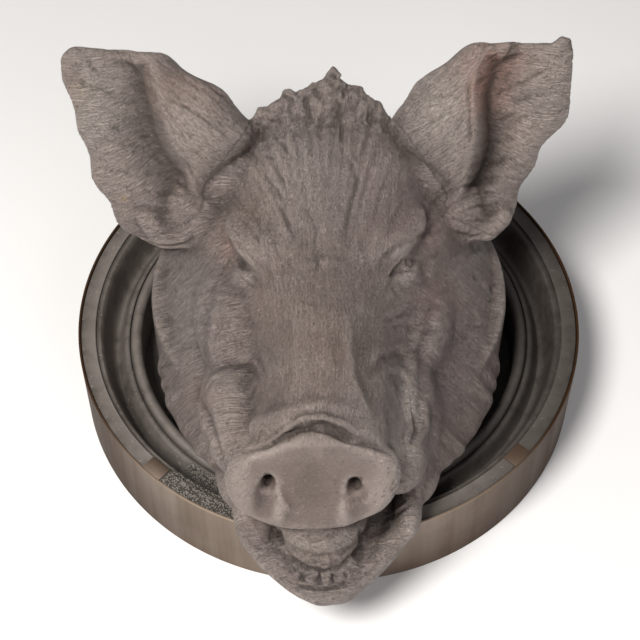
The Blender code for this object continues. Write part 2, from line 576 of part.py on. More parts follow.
def build_head(collection, cutters, finish, well):
    bm = bmesh.new()
    skull(bm)
    masses(bm)
    snout_disc(bm)
    jaw(bm)
    crest(bm)
    neck_radius = (well - NECK_GAP) / HEAD_UNIT
    bmesh.ops.create_cone(bm, cap_ends=True, segments=64, radius1=neck_radius, radius2=neck_radius, depth=0.5,
                          matrix=Matrix.Translation((0, 0, NECK_FOOT + 0.25)))
    bmesh.ops.transform(bm, matrix=to_world(), verts=bm.verts)
    body = object_from(bm, "body", collection)
    fuse(body, CLAY_VOXEL, CLAY_SMOOTHING_STEPS)
    work_face(body)
    head = joined([body, *add_ears(collection)], "boar_head")
    fuse(head, CLAY_VOXEL, DETAIL_SMOOTHING_STEPS)
    head.data.materials.append(finish)
    thin = head.modifiers.new("facets", "DECIMATE")
    thin.ratio = HEAD_FACES / (2 * len(head.data.polygons))
    bake(head)
    fit = head.modifiers.new("clear_of_plinth", "BOOLEAN")
    fit.operation = "DIFFERENCE"
    fit.solver = "EXACT"
    fit.object = space_of_plinth(cutters, well)
    bake(head)
    shade_smooth(head, 60)
    return head


def main():
    clear_scene()
    collection = new_collection("boar_head_sculpture")
    cutters = new_collection("cutters")
    clay = material("terracotta", **CLAY)
    dark_clay = material("dark_terracotta", **DARK_CLAY)
    bronze = material("bronze", **BRONZE)
    profile, well = plinth_profile()
    plinth = turned("plinth", profile, collection, dark_clay)
    bake(plinth)
    shade_smooth(plinth, 30)
    shade_smooth(build_band(collection, bronze), 30)
    build_head(collection, cutters, clay, well)


main()
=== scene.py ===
import math

import bmesh
import bpy
import numpy as np
from mathutils import Euler, Matrix, Vector, noise


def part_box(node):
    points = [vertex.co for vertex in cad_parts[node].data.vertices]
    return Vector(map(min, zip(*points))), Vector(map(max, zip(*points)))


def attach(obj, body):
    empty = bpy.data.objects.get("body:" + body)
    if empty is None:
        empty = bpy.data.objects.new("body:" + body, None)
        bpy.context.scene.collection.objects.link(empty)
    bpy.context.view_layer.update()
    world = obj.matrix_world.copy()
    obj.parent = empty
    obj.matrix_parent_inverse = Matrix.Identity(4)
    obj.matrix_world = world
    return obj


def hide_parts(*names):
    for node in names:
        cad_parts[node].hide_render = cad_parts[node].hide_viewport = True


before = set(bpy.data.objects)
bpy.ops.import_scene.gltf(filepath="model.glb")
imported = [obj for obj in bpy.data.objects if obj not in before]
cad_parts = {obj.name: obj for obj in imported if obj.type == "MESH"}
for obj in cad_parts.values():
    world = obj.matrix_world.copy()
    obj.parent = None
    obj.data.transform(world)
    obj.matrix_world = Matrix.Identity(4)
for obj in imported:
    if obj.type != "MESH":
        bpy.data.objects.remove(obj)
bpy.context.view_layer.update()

# Plinth and band, in metres: a turned disc with a moulded rim, a well for the neck and a bronze hoop
BAND_RADIUS = 0.200
BAND_THICKNESS = 0.0018
PLINTH_HEIGHT = 0.070
PLINTH_FLOOR = 0.012
RIM_WIDTH = 0.0115
QUIRK_WIDTH = 0.0012
QUIRK_DEPTH = 0.0022
COVE_WIDTH = 0.024
COVE_DEPTH = 0.030
RIDGE_DROP = 0.019
BEAD_RADIUS = 0.0045
EDGE_EASE = 0.0005
ROUND_STEPS = 288
BAND_RISE = 0.0012
TAB_COUNT = 4
TAB_WIDTH = 0.0175
TAB_REACH = 0.0135
TAB_TURN = math.radians(-42.5)
SEAT_GAP = 0.0003
BAND_GAP = 0.0004
NECK_GAP = 0.012
JAW_GAP = 0.0020
PLINTH_RADIUS = BAND_RADIUS - BAND_THICKNESS - BAND_GAP

# Head
HEAD_UNIT = 0.200
NECK_FOOT = -0.2885
CLAY_VOXEL = 0.0016
CLAY_SMOOTHING_STEPS = 46
DETAIL_SMOOTHING_STEPS = 5
HEAD_TRIANGLES = 194000
EAR_THICKNESS = 0.0085

# Lines of the head, as (distance along Y, value) in head units
CROWN_LINE = ((-1.00, 0.66), (-0.86, 0.71), (-0.60, 0.72), (-0.30, 0.705), (0.0, 0.745), (0.25, 0.79),
              (0.42, 0.76), (0.56, 0.58), (0.64, 0.36))
BROW_REACH = ((-1.00, 0.13), (-0.70, 0.14), (-0.45, 0.16), (-0.25, 0.22), (0.0, 0.25), (0.30, 0.22),
              (0.64, 0.08))
CHEEK_REACH = ((-1.00, 0.21), (-0.85, 0.24), (-0.70, 0.27), (-0.55, 0.31), (-0.40, 0.39), (-0.20, 0.49),
               (0.0, 0.53), (0.25, 0.51), (0.45, 0.38), (0.64, 0.12))
CHEEK_LEVEL = ((-1.00, 0.50), (-0.70, 0.47), (-0.40, 0.42), (0.0, 0.40), (0.40, 0.38), (0.64, 0.24))
RUFF_REACH = ((-1.00, 0.20), (-0.90, 0.30), (-0.82, 0.39), (-0.69, 0.50), (-0.53, 0.59), (-0.37, 0.645),
              (-0.18, 0.675), (0.0, 0.68), (0.17, 0.65), (0.30, 0.58), (0.45, 0.44), (0.64, 0.14))
RUFF_LEVEL = ((-1.00, 0.38), (-0.90, 0.26), (-0.80, 0.14), (-0.65, 0.07), (-0.40, 0.05), (0.0, 0.06),
              (0.64, 0.08))
UNDER_LEVEL = ((-1.00, 0.32), (-0.90, 0.25), (-0.80, 0.12), (-0.65, 0.02), (-0.40, -0.02), (0.64, -0.02))
RUFF_LOCKS = 0.011
UNTURNED = (0.0, 0.0, 0.0)
MILLIMETRE = 0.001 / HEAD_UNIT
CLAY = (0.208, 0.160, 0.141)

# Disc of the snout
DISC_CENTRE = (-0.060, -1.035, 0.475)
DISC_TILT = math.radians(20.0)
DISC_HALF_WIDTH = 0.312
DISC_HALF_HEIGHT = 0.222
DISC_DEPTH = 0.13

# The face is drawn as it is seen from the front and above, from a point this far off in head units; the
# camera stands at the same distance
VIEW_RISE = math.radians(54.0)
VIEW_DISTANCE = 6.5
VIEW = (0.0, -math.cos(VIEW_RISE), math.sin(VIEW_RISE))
VIEW_UP = (0.0, math.sin(VIEW_RISE), math.cos(VIEW_RISE))

# Fine strokes are placed in steps of this drawing: 249.1 steps to a head unit, from its upper left
DRAWING_STEP = 1.0 / 249.1
DRAWING_MIDDLE = (328.55, 316.6)

# Ears, in each ear's own plane: U runs from base to tip, the edges lie to the sides of that line
EAR_LENGTH = 0.70
EAR_FLARE = 0.25
EAR_ROOT_LEFT = (-0.52, 0.12, 0.55)
EAR_ROOT_RIGHT = (0.50, 0.13, 0.55)
EAR_TIP_LEFT = (-0.84, 0.38, 1.12)
EAR_TIP_RIGHT = (0.80, 0.40, 1.12)
EAR_FOOT = -0.20
EAR_TIP_SLANT = 0.07
EAR_TIP_ROUNDING = 0.045
INNER_EDGE_LEFT = ((-0.20, 0.03), (0.0, 0.06), (0.10, 0.15), (0.20, 0.33), (0.32, 0.345), (0.45, 0.325),
                   (0.66, 0.25), (0.86, 0.165), (1.0, 0.11))
OUTER_EDGE_LEFT = ((-0.20, 0.06), (-0.12, 0.19), (0.0, 0.25), (0.27, 0.27), (0.48, 0.245), (0.73, 0.195),
                   (0.90, 0.17), (1.0, 0.12))
RIDGE_LEFT = ((-0.20, -0.5), (0.0, -0.45), (0.20, -0.30), (0.40, -0.27), (0.54, -0.36), (0.66, -0.52),
              (0.78, -0.75), (0.90, -0.93), (1.0, -0.95))
INNER_EDGE_RIGHT = ((-0.20, 0.03), (0.0, 0.06), (0.10, 0.13), (0.20, 0.32), (0.30, 0.38), (0.45, 0.365),
                    (0.66, 0.315), (0.85, 0.225), (1.0, 0.15))
OUTER_EDGE_RIGHT = ((-0.20, 0.05), (-0.10, 0.15), (0.0, 0.18), (0.20, 0.17), (0.45, 0.155), (0.65, 0.18),
                    (0.85, 0.14), (1.0, 0.035))
RIDGE_RIGHT = ((-0.20, -0.5), (0.0, -0.40), (0.20, -0.20), (0.36, -0.25), (0.50, -0.42), (0.62, -0.60),
               (0.72, -0.74), (0.84, -0.90), (1.0, -0.95))
EARS = ((EAR_ROOT_LEFT, EAR_TIP_LEFT, INNER_EDGE_LEFT, OUTER_EDGE_LEFT, RIDGE_LEFT, -1),
        (EAR_ROOT_RIGHT, EAR_TIP_RIGHT, INNER_EDGE_RIGHT, OUTER_EDGE_RIGHT, RIDGE_RIGHT, 1))
RIDGE_COLUMN = -0.4
FLAP_RELIEF = ((0.0, 0.11), (0.25, 0.10), (0.60, 0.05), (0.82, -0.02), (1.0, -0.15))
BLADE_RELIEF = ((0.0, 0.11), (0.05, 0.06), (0.12, -0.08), (0.22, -0.11), (0.40, -0.07), (0.62, 0.0),
                (0.82, 0.015), (1.0, -0.015))

# Fine folds of the face, each as (half width in steps of the drawing, height in millimetres, and then the
# places that its path goes through, each as two numbers across and down)
EYE_FOLDS = (
    (1.6, -0.9, 228, 240, 236, 243, 246, 252, 261, 270), (1.6, 1.0, 232, 246, 243, 256, 257, 271),
    (1.5, -1.5, 234, 258, 243, 267, 250, 274), (2.4, 1.3, 233, 262, 238, 272, 246, 281),
    (1.4, -1.0, 231, 262, 240, 278, 256, 289), (1.7, -1.0, 230, 255, 220, 273, 209, 296),
    (1.5, -0.8, 243, 268, 238, 280), (3.0, 0.8, 266, 255, 274, 270, 277, 288),
    (1.6, -1.1, 405, 239, 392, 249, 377, 262), (1.8, 1.2, 412, 243, 398, 252, 384, 264),
    (1.5, -1.7, 405, 258, 396, 268, 388, 279), (1.3, -1.6, 388, 277, 397, 272, 410, 270, 416, 272),
    (1.5, -0.8, 390, 285, 399, 300), (1.8, 0.9, 393, 281, 404, 277, 414, 279),
    (1.2, -1.8, 410, 258, 414, 262, 411, 267, 406, 264, 406, 260, 410, 258),
    (1.8, -3.0, 410, 262, 410.5, 263), (2.2, -3.4, 237, 262, 243, 267),
    (2.2, -0.9, 408, 243, 420, 236, 434, 232), (2.0, -0.8, 420, 262, 424, 275, 420, 290),
)
CHEEK_FOLDS = (
    (1.8, -0.9, 202, 377, 214, 371, 228, 367, 246, 367, 252, 374),
    (1.8, -1.6, 199, 384, 199, 400, 207, 415, 214, 435, 224, 470), (1.8, -1.0, 210, 418, 203, 433, 208, 452),
    (2.0, -1.0, 254, 352, 262, 368, 265, 384), (1.8, -0.4, 286, 314, 290, 332, 292, 352),
    (1.8, -0.4, 290, 355, 287, 370, 282, 384), (1.8, 0.5, 346, 318, 347, 345, 350, 372, 360, 395, 372, 426),
    (3.6, -0.6, 353, 318, 354, 346, 358, 372, 368, 396, 381, 426),
    (2.0, 1.2, 388, 372, 399, 371, 408, 380, 411, 396), (2.2, -1.2, 384, 366, 399, 363, 414, 372, 420, 390),
    (1.6, -1.8, 409, 395, 412, 412, 415, 430, 408, 452), (2.4, 1.4, 417, 398, 424, 412, 426, 428, 420, 442),
    (1.8, -1.2, 428, 396, 432, 415, 429, 436), (1.6, -0.8, 400, 455, 397, 475, 399, 495),
    (1.7, -1.2, 382, 323, 395, 318, 411, 314), (1.6, -0.9, 384, 330, 400, 326, 413, 326),
    (1.6, -0.7, 396, 338, 410, 332, 425, 320), (1.6, -0.7, 386, 346, 402, 341, 420, 340),
)
SNOUT_FOLDS = (
    (1.5, -2.2, 240, 454, 253, 450, 267, 447, 276, 441, 285, 434, 297, 431, 309, 429, 328, 433, 343, 441,
     358, 445, 374, 448, 388, 454, 396, 465),
    (2.4, 1.4, 262, 444, 282, 433, 297, 420, 323, 418, 345, 427, 357, 439),
    (1.5, -1.2, 252, 445, 270, 438, 290, 421, 300, 414, 322, 412, 346, 420, 362, 436),
    (1.1, -0.7, 284, 427, 300, 421, 320, 421, 336, 426), (1.8, -1.6, 262, 477, 265, 476, 270, 477),
    (2.0, -2.0, 265, 480, 266, 486), (1.8, -1.6, 353, 481, 359, 480, 360, 482),
    (2.0, -2.0, 358, 482, 354, 490), (2.8, -0.6, 258, 484, 257, 494, 263, 503),
    (3.6, -0.4, 281, 484, 286, 500, 294, 512), (3.6, -0.4, 340, 494, 336, 503, 330, 511),
    (2.6, -0.5, 350, 490, 344, 498, 345, 504), (2.4, 1.0, 276, 490, 281, 503, 290, 513),
    (3.0, 0.8, 345, 508, 360, 504, 371, 497),
)
MOUTH_FOLDS = (
    (2.0, -4.5, 276, 529, 278, 538, 281, 547),
    (1.8, -2.8, 283, 547, 292, 560, 304, 568, 322, 572, 340, 567, 352, 555, 359, 545),
    (1.5, -0.6, 250, 528, 246, 537, 252, 548, 268, 550, 276, 545),
    (2.0, -4.5, 360, 528, 361, 541, 360, 549, 352, 560), (2.4, -1.4, 365, 540, 375, 533, 390, 527),
    (1.3, 1.6, 414, 499, 402, 507, 392, 514, 384, 519), (1.5, -2.2, 411, 503, 400, 511, 389, 519, 380, 527),
    (2.4, -1.0, 250, 553, 264, 566, 282, 580, 298, 592),
    (2.6, 1.1, 246, 545, 258, 562, 276, 578, 300, 596, 322, 601, 345, 595, 366, 577, 386, 560),
    (2.0, -0.9, 352, 588, 364, 576, 380, 562), (1.1, -3.0, 299, 573, 301, 579, 304, 585),
    (1.1, -3.0, 318, 572, 318, 579, 317, 586), (1.1, -2.6, 331, 573, 332, 580, 330, 586),
    (1.1, -2.0, 343, 572, 346, 579), (1.5, -2.4, 294, 584, 304, 588, 318, 590, 334, 588, 348, 580),
    (1.8, 1.0, 303, 577, 310, 581, 316, 580), (1.8, 1.0, 319, 580, 325, 582, 330, 581),
    (1.8, 1.0, 334, 580, 340, 579),
)
MANE_FOLDS = (
    (1.8, -2.2, 339, 98, 339, 112, 341, 130, 340, 146),
    (2.2, -1.4, 341, 146, 351, 166, 356, 180, 350, 204, 345, 226, 344, 246),
    (1.8, -1.3, 350, 152, 358, 160, 366, 138, 372, 120), (1.8, -1.9, 368, 128, 371, 116, 378, 104),
    (1.6, -2.4, 346, 84, 345, 94, 341, 100), (1.5, -1.6, 302, 92, 306, 108, 311, 124),
    (1.5, -1.6, 311, 88, 318, 98, 322, 104), (1.4, -1.8, 272, 88, 282, 96, 292, 100),
    (1.4, -1.8, 300, 90, 308, 86, 316, 84), (1.3, -1.6, 293, 84, 296, 96),
    (1.6, -1.5, 325, 70, 333, 78, 344, 79), (1.4, -1.5, 358, 86, 360, 98, 356, 108),
    (1.4, -1.0, 253, 120, 266, 118, 281, 124), (1.3, -1.3, 270, 132, 282, 144, 292, 158),
    (1.2, -1.3, 258, 154, 268, 157, 276, 160), (1.5, -1.0, 262, 174, 276, 190, 284, 204),
    (1.5, -1.6, 274, 200, 283, 214, 290, 230, 292, 242), (1.4, -0.9, 301, 205, 312, 220, 318, 240),
    (1.6, -0.9, 314, 232, 316, 262, 313, 282), (1.5, -0.8, 330, 150, 328, 176, 322, 200),
    (1.5, -0.8, 374, 150, 366, 178, 358, 208), (1.5, -0.7, 392, 160, 380, 192, 372, 222),
    (1.6, -0.9, 404, 196, 394, 216, 382, 240), (1.4, -0.7, 300, 128, 304, 150, 308, 172),
    (1.8, -0.9, 356, 236, 362, 250, 366, 268),
)
EAR_FOLDS = (
    (1.8, -1.9, 163, 99, 176, 104, 196, 115, 214, 127, 234, 140), (1.6, 0.9, 166, 100, 163, 112, 170, 124),
    (1.8, -1.0, 170, 72, 190, 84, 212, 96, 232, 112), (1.6, -0.9, 175, 62, 200, 78, 226, 98, 240, 118),
    (1.4, -1.2, 172, 132, 184, 136, 197, 138), (1.4, -0.9, 178, 150, 192, 156, 204, 150),
    (1.5, -1.3, 183, 158, 190, 175, 203, 190), (1.4, -1.4, 87, 58, 92, 70, 100, 78),
    (1.3, -0.9, 103, 52, 112, 62, 124, 70), (1.3, -1.0, 66, 78, 84, 86, 104, 92, 120, 96),
    (1.5, -1.3, 106, 126, 114, 130, 124, 132), (1.3, -0.9, 92, 140, 112, 143, 138, 148),
    (1.3, -1.0, 100, 172, 120, 172, 140, 178), (1.5, -1.1, 128, 200, 146, 192, 170, 194, 196, 200),
    (1.4, -0.9, 120, 214, 140, 206, 170, 208), (2.0, 1.1, 130, 218, 150, 214, 172, 218),
    (1.6, -2.2, 144, 242, 156, 247, 170, 248, 184, 245, 194, 238), (1.5, -0.9, 146, 228, 158, 232, 172, 232),
    (1.5, -0.9, 152, 238, 166, 240, 182, 236), (2.0, -1.6, 472, 76, 468, 92, 469, 112, 470, 134, 466, 152),
    (1.4, -1.0, 420, 130, 432, 122, 448, 112, 458, 100), (1.4, -0.9, 430, 150, 442, 138, 456, 124, 466, 112),
    (1.4, -0.9, 436, 168, 446, 152, 458, 138), (1.5, 1.0, 410, 128, 420, 130, 424, 140),
    (1.3, -1.0, 500, 60, 520, 54, 545, 46), (1.3, -1.1, 505, 86, 528, 80, 556, 66),
    (1.3, -0.9, 508, 104, 530, 98, 556, 90), (1.3, -1.0, 506, 124, 526, 116, 552, 112),
    (1.3, -0.9, 500, 142, 520, 138, 540, 132), (1.3, -1.2, 478, 168, 498, 160, 520, 158),
    (1.3, -1.2, 466, 186, 486, 178, 512, 176), (1.3, -1.2, 460, 200, 482, 192, 508, 194),
    (1.3, -1.1, 458, 212, 478, 206, 500, 208), (1.4, -1.0, 462, 224, 478, 220, 492, 222),
    (1.6, -1.8, 448, 228, 460, 234, 474, 238, 486, 232), (1.3, -1.4, 470, 246, 476, 252, 482, 248, 477, 243),
    (1.4, -1.6, 474, 278, 478, 280), (1.2, -1.4, 490, 284, 492, 294),
)

# The way the hair lies, as (place in the picture, angle from its right, anticlockwise in degrees)
COMBED = (
    (333, 120, 92), (290, 112, 108), (372, 112, 74), (262, 140, 125), (333, 200, 90), (300, 200, 100),
    (270, 205, 118), (238, 225, 138), (362, 200, 80), (392, 205, 66), (424, 222, 48), (333, 280, 90),
    (300, 300, 97), (360, 290, 84), (285, 250, 110), (385, 235, 60), (310, 350, 92), (320, 400, 88),
    (290, 400, 104), (345, 380, 80), (225, 330, 180), (245, 300, 172), (190, 290, 190), (175, 330, 186),
    (172, 390, 200), (200, 350, 182), (230, 350, 176), (180, 265, 196), (215, 400, 252), (235, 430, 256),
    (202, 430, 240), (243, 390, 236), (198, 462, 232), (262, 415, 250), (400, 320, 12), (430, 300, 24),
    (470, 290, 12), (486, 350, 0), (470, 410, -28), (430, 350, 4), (448, 250, 40), (390, 420, -82),
    (402, 460, -84), (385, 390, -70), (450, 450, -46), (440, 390, -20), (400, 500, -60), (160, 235, 176),
    (490, 222, 4), (85, 70, 146), (84, 100, 155), (96, 135, 166), (105, 170, 178), (125, 205, 190),
    (140, 120, 160), (120, 60, 128), (190, 88, 150), (216, 112, 144), (205, 145, 140), (178, 125, 122),
    (232, 118, 132), (552, 60, 36), (545, 95, 24), (530, 135, 10), (508, 180, -4), (495, 115, 22),
    (515, 60, 30), (440, 92, 48), (424, 118, 42), (445, 150, 58), (458, 96, 62), (478, 190, 14),
)

# Clay stains, painted shade and painted highlights, as (place across and down in the picture, reach across
# and down, tint, strength)
RED_CLAY = (0.440, 0.215, 0.155)
BROWN_CLAY = (0.205, 0.150, 0.118)
VIOLET_CLAY = (0.200, 0.142, 0.147)
GREY_CLAY = (0.262, 0.245, 0.225)
# Painted highlight: a pale tint laid on lit bulges, lids, ear blades, the disc's sides and the tops of
# creases
PAINTED_HIGHLIGHT = (0.470, 0.405, 0.360)
# Painted shade: a dark tint in the ears' hollows and roots, the crest, the face's right side and the mouth's
# corners
PAINTED_SHADE = (0.075, 0.058, 0.048)
# Painted shade in crevices: a near-black tint in the eye slits, between the teeth and along the tongue and
# lips
CREVICE_SHADE = (0.014, 0.010, 0.008)
OCHRE = (0.45, 0.33, 0.16)
BUFF = (0.36, 0.28, 0.18)
OCHRE_GREY = (0.22, 0.175, 0.115)
STAINS_AND_PAINTED_LIGHT = (
    (492, 80, 28, 34, RED_CLAY, 0.90), (478, 100, 14, 26, RED_CLAY, 0.70), (512, 62, 26, 14, RED_CLAY, 0.4),
    (489, 168, 16, 52, PAINTED_SHADE, 0.50), (155, 122, 18, 38, PAINTED_SHADE, 0.45), (152, 90, 14, 20, BROWN_CLAY, 0.5),
    (205, 92, 46, 26, RED_CLAY, 0.30), (178, 205, 34, 14, PAINTED_SHADE, 0.30), (95, 118, 34, 40, GREY_CLAY, 0.60),
    (85, 70, 26, 24, GREY_CLAY, 0.35), (68, 95, 8, 26, RED_CLAY, 0.25), (120, 190, 36, 34, VIOLET_CLAY, 0.35),
    (205, 150, 40, 24, PAINTED_HIGHLIGHT, 0.45), (186, 128, 18, 26, PAINTED_HIGHLIGHT, 0.4),
    (440, 120, 26, 36, GREY_CLAY, 0.55), (452, 160, 14, 26, PAINTED_HIGHLIGHT, 0.35),
    (530, 120, 30, 40, PAINTED_HIGHLIGHT, 0.35), (552, 52, 20, 20, PAINTED_HIGHLIGHT, 0.30), (245, 126, 8, 24, PAINTED_SHADE, 0.8),
    (393, 124, 9, 16, PAINTED_SHADE, 0.8), (300, 170, 56, 60, GREY_CLAY, 0.30), (385, 190, 46, 60, VIOLET_CLAY, 0.45),
    (440, 240, 26, 30, BROWN_CLAY, 0.5), (245, 222, 18, 20, BROWN_CLAY, 0.55),
    (228, 248, 12, 14, RED_CLAY, 0.30), (435, 232, 18, 14, RED_CLAY, 0.22), (333, 70, 26, 22, PAINTED_SHADE, 0.60),
    (285, 90, 40, 12, PAINTED_SHADE, 0.45), (368, 96, 18, 18, PAINTED_SHADE, 0.45), (265, 290, 24, 40, BROWN_CLAY, 0.30),
    (185, 310, 24, 60, GREY_CLAY, 0.45), (215, 335, 22, 36, VIOLET_CLAY, 0.35),
    (225, 420, 24, 44, PAINTED_HIGHLIGHT, 0.35), (190, 430, 16, 40, BROWN_CLAY, 0.45),
    (205, 400, 10, 18, RED_CLAY, 0.20), (320, 360, 44, 50, BROWN_CLAY, 0.35),
    (318, 420, 30, 10, PAINTED_HIGHLIGHT, 0.25), (367, 345, 17, 72, PAINTED_SHADE, 0.50),
    (440, 350, 44, 90, VIOLET_CLAY, 0.70), (440, 350, 44, 90, PAINTED_SHADE, 0.28), (445, 300, 22, 18, RED_CLAY, 0.22),
    (475, 300, 18, 50, GREY_CLAY, 0.25), (470, 420, 30, 40, BROWN_CLAY, 0.35),
    (398, 400, 16, 50, GREY_CLAY, 0.45), (392, 440, 14, 30, VIOLET_CLAY, 0.35),
    (250, 480, 26, 34, PAINTED_HIGHLIGHT, 0.25), (375, 480, 24, 34, PAINTED_HIGHLIGHT, 0.35),
    (310, 455, 60, 12, PAINTED_HIGHLIGHT, 0.45), (312, 495, 44, 34, BROWN_CLAY, 0.50),
    (263, 495, 10, 14, VIOLET_CLAY, 0.5), (352, 490, 12, 14, VIOLET_CLAY, 0.4),
    (250, 520, 26, 14, BROWN_CLAY, 0.6), (320, 527, 60, 8, BROWN_CLAY, 0.6),
    (258, 540, 18, 12, VIOLET_CLAY, 0.6), (300, 545, 26, 18, PAINTED_HIGHLIGHT, 0.40),
    (320, 550, 26, 12, OCHRE_GREY, 0.45), (375, 535, 16, 18, PAINTED_SHADE, 0.6), (320, 596, 34, 8, PAINTED_HIGHLIGHT, 0.45),
    (270, 570, 26, 12, PAINTED_HIGHLIGHT, 0.25), (395, 540, 18, 30, BROWN_CLAY, 0.35),
    (322, 608, 60, 8, BROWN_CLAY, 0.55), (239, 263, 4.5, 3.5, CREVICE_SHADE, 0.85), (248, 277, 8, 8, PAINTED_HIGHLIGHT, 0.50),
    (243, 248, 9, 5, PAINTED_HIGHLIGHT, 0.35), (410, 262, 3.5, 3.5, CREVICE_SHADE, 0.80), (400, 281, 11, 7, PAINTED_HIGHLIGHT, 0.50),
    (399, 253, 10, 5, PAINTED_HIGHLIGHT, 0.40), (277, 538, 3, 10, CREVICE_SHADE, 0.80), (361, 545, 3, 13, CREVICE_SHADE, 0.90),
    (302, 579, 2.2, 6, CREVICE_SHADE, 0.80), (318, 579, 2.0, 7, CREVICE_SHADE, 0.80), (331, 579, 2.0, 6, CREVICE_SHADE, 0.75),
    (318, 588, 24, 2.2, CREVICE_SHADE, 0.60), (318, 571, 27, 2.6, CREVICE_SHADE, 0.50), (383, 528, 12, 10, PAINTED_SHADE, 0.60),
    (100, 95, 34, 48, PAINTED_HIGHLIGHT, 0.70), (130, 180, 40, 40, PAINTED_HIGHLIGHT, 0.40),
    (205, 118, 34, 32, PAINTED_HIGHLIGHT, 0.50), (540, 85, 32, 54, PAINTED_HIGHLIGHT, 0.60),
    (438, 112, 34, 44, PAINTED_HIGHLIGHT, 0.75), (320, 200, 70, 76, PAINTED_HIGHLIGHT, 0.20),
    (310, 350, 30, 56, PAINTED_HIGHLIGHT, 0.12), (408, 425, 12, 42, PAINTED_HIGHLIGHT, 0.80),
    (396, 455, 10, 34, PAINTED_HIGHLIGHT, 0.70), (312, 490, 96, 54, BROWN_CLAY, 0.45), (312, 492, 30, 34, PAINTED_SHADE, 0.22),
    (410, 535, 12, 24, PAINTED_HIGHLIGHT, 0.50), (123, 199, 3, 3, OCHRE, 0.8), (78, 90, 8, 10, BUFF, 0.5),
)

# Where each ear ends towards the crown, as (place down in the picture, place across), and the hair's strokes
EAR_BORDERS = (((20, 262), (110, 255), (138, 240), (165, 218), (185, 204), (215, 196), (240, 150)),
               ((20, 376), (110, 384), (130, 402), (165, 426), (190, 444), (215, 450), (240, 500)))
HAIR_STROKES = 1900
HAIR_SEED = 7
HAIR_STEP = 4.5
COMB_REACH = 17.0
FOLD_WIDTH = 1.15
FOLD_TAPER = 0.3

# Painted shade round the hoop, as (angle in degrees from its right side, share)
BAND_SHADE = ((-180, 1.0), (-165, 1.0), (-150, 0.92), (-135, 0.56), (-120, 0.24), (-105, 0.10), (-90, 0.15),
              (-70, 0.32), (-55, 0.60), (-35, 0.97), (0, 1.0), (90, 0.9), (180, 1.0))

# Picture: a lens of this length over this width of film, in millimetres, and how far the eye looks past the
# middle of the rim, in metres
LENS = 91.08
FILM_WIDTH = 36.0
AIM_SIDE = -0.00687
AIM_UP = -0.00273
LIT_PLACE = (0.0, 0.0, 0.12)
FLOOR_REACH = 6.0
ROOM_LIGHT = 0.18


def object_from(bm, name):
    mesh = bpy.data.meshes.new(name)
    bm.to_mesh(mesh)
    bm.free()
    obj = bpy.data.objects.new(name, mesh)
    bpy.context.scene.collection.objects.link(obj)
    return obj


def bake(obj):
    """Puts the mesh that the object's modifiers make in place of its mesh and modifiers."""
    graph = bpy.context.evaluated_depsgraph_get()
    mesh = bpy.data.meshes.new_from_object(obj.evaluated_get(graph))
    obj.modifiers.clear()
    obj.data = mesh


def flow(keys, x):
    """A smooth curve through (x, value) keys."""
    keys = np.asarray(keys, float)
    spots, values = keys[:, 0], keys[:, 1]
    slopes = np.gradient(values, spots)
    x = np.clip(x, spots[0], spots[-1])
    i = np.clip(np.searchsorted(spots, x, side="right") - 1, 0, len(spots) - 2)
    width = spots[i + 1] - spots[i]
    t = (x - spots[i]) / width
    start = (2 * t**3 - 3 * t**2 + 1) * values[i] + (t**3 - 2 * t**2 + t) * width * slopes[i]
    end = (3 * t**2 - 2 * t**3) * values[i + 1] + (t**3 - t**2) * width * slopes[i + 1]
    return start + end


def step_between(low, high, x):
    """0 below low, 1 above high, and smooth between."""
    t = np.clip((x - low) / (high - low), 0.0, 1.0)
    return t * t * (3 - 2 * t)


def arc(centre, radius, start, end, steps):
    """Points (r, z) on an arc, by angle in degrees."""
    angles = (math.radians(start + (end - start) * i / steps) for i in range(steps + 1))
    return [(centre[0] + radius * math.cos(a), centre[1] + radius * math.sin(a)) for a in angles]


def turned(name, profile):
    """A (r, z) profile from axis to axis turned about Z, or a closed one away from the axis."""
    bm = bmesh.new()
    verts = [bm.verts.new((r, 0.0, z)) for r, z in profile]
    edges = [bm.edges.new(ends) for ends in zip(verts, verts[1:])]
    if profile[0][0] > 0.0:
        edges.append(bm.edges.new((verts[-1], verts[0])))
    bmesh.ops.spin(bm, geom=verts + edges, cent=(0, 0, 0), axis=(0, 0, 1), angle=math.tau, steps=ROUND_STEPS,
                   use_merge=True)
    bmesh.ops.remove_doubles(bm, verts=bm.verts, dist=1e-5)
    bmesh.ops.recalc_face_normals(bm, faces=bm.faces)
    return object_from(bm, name)


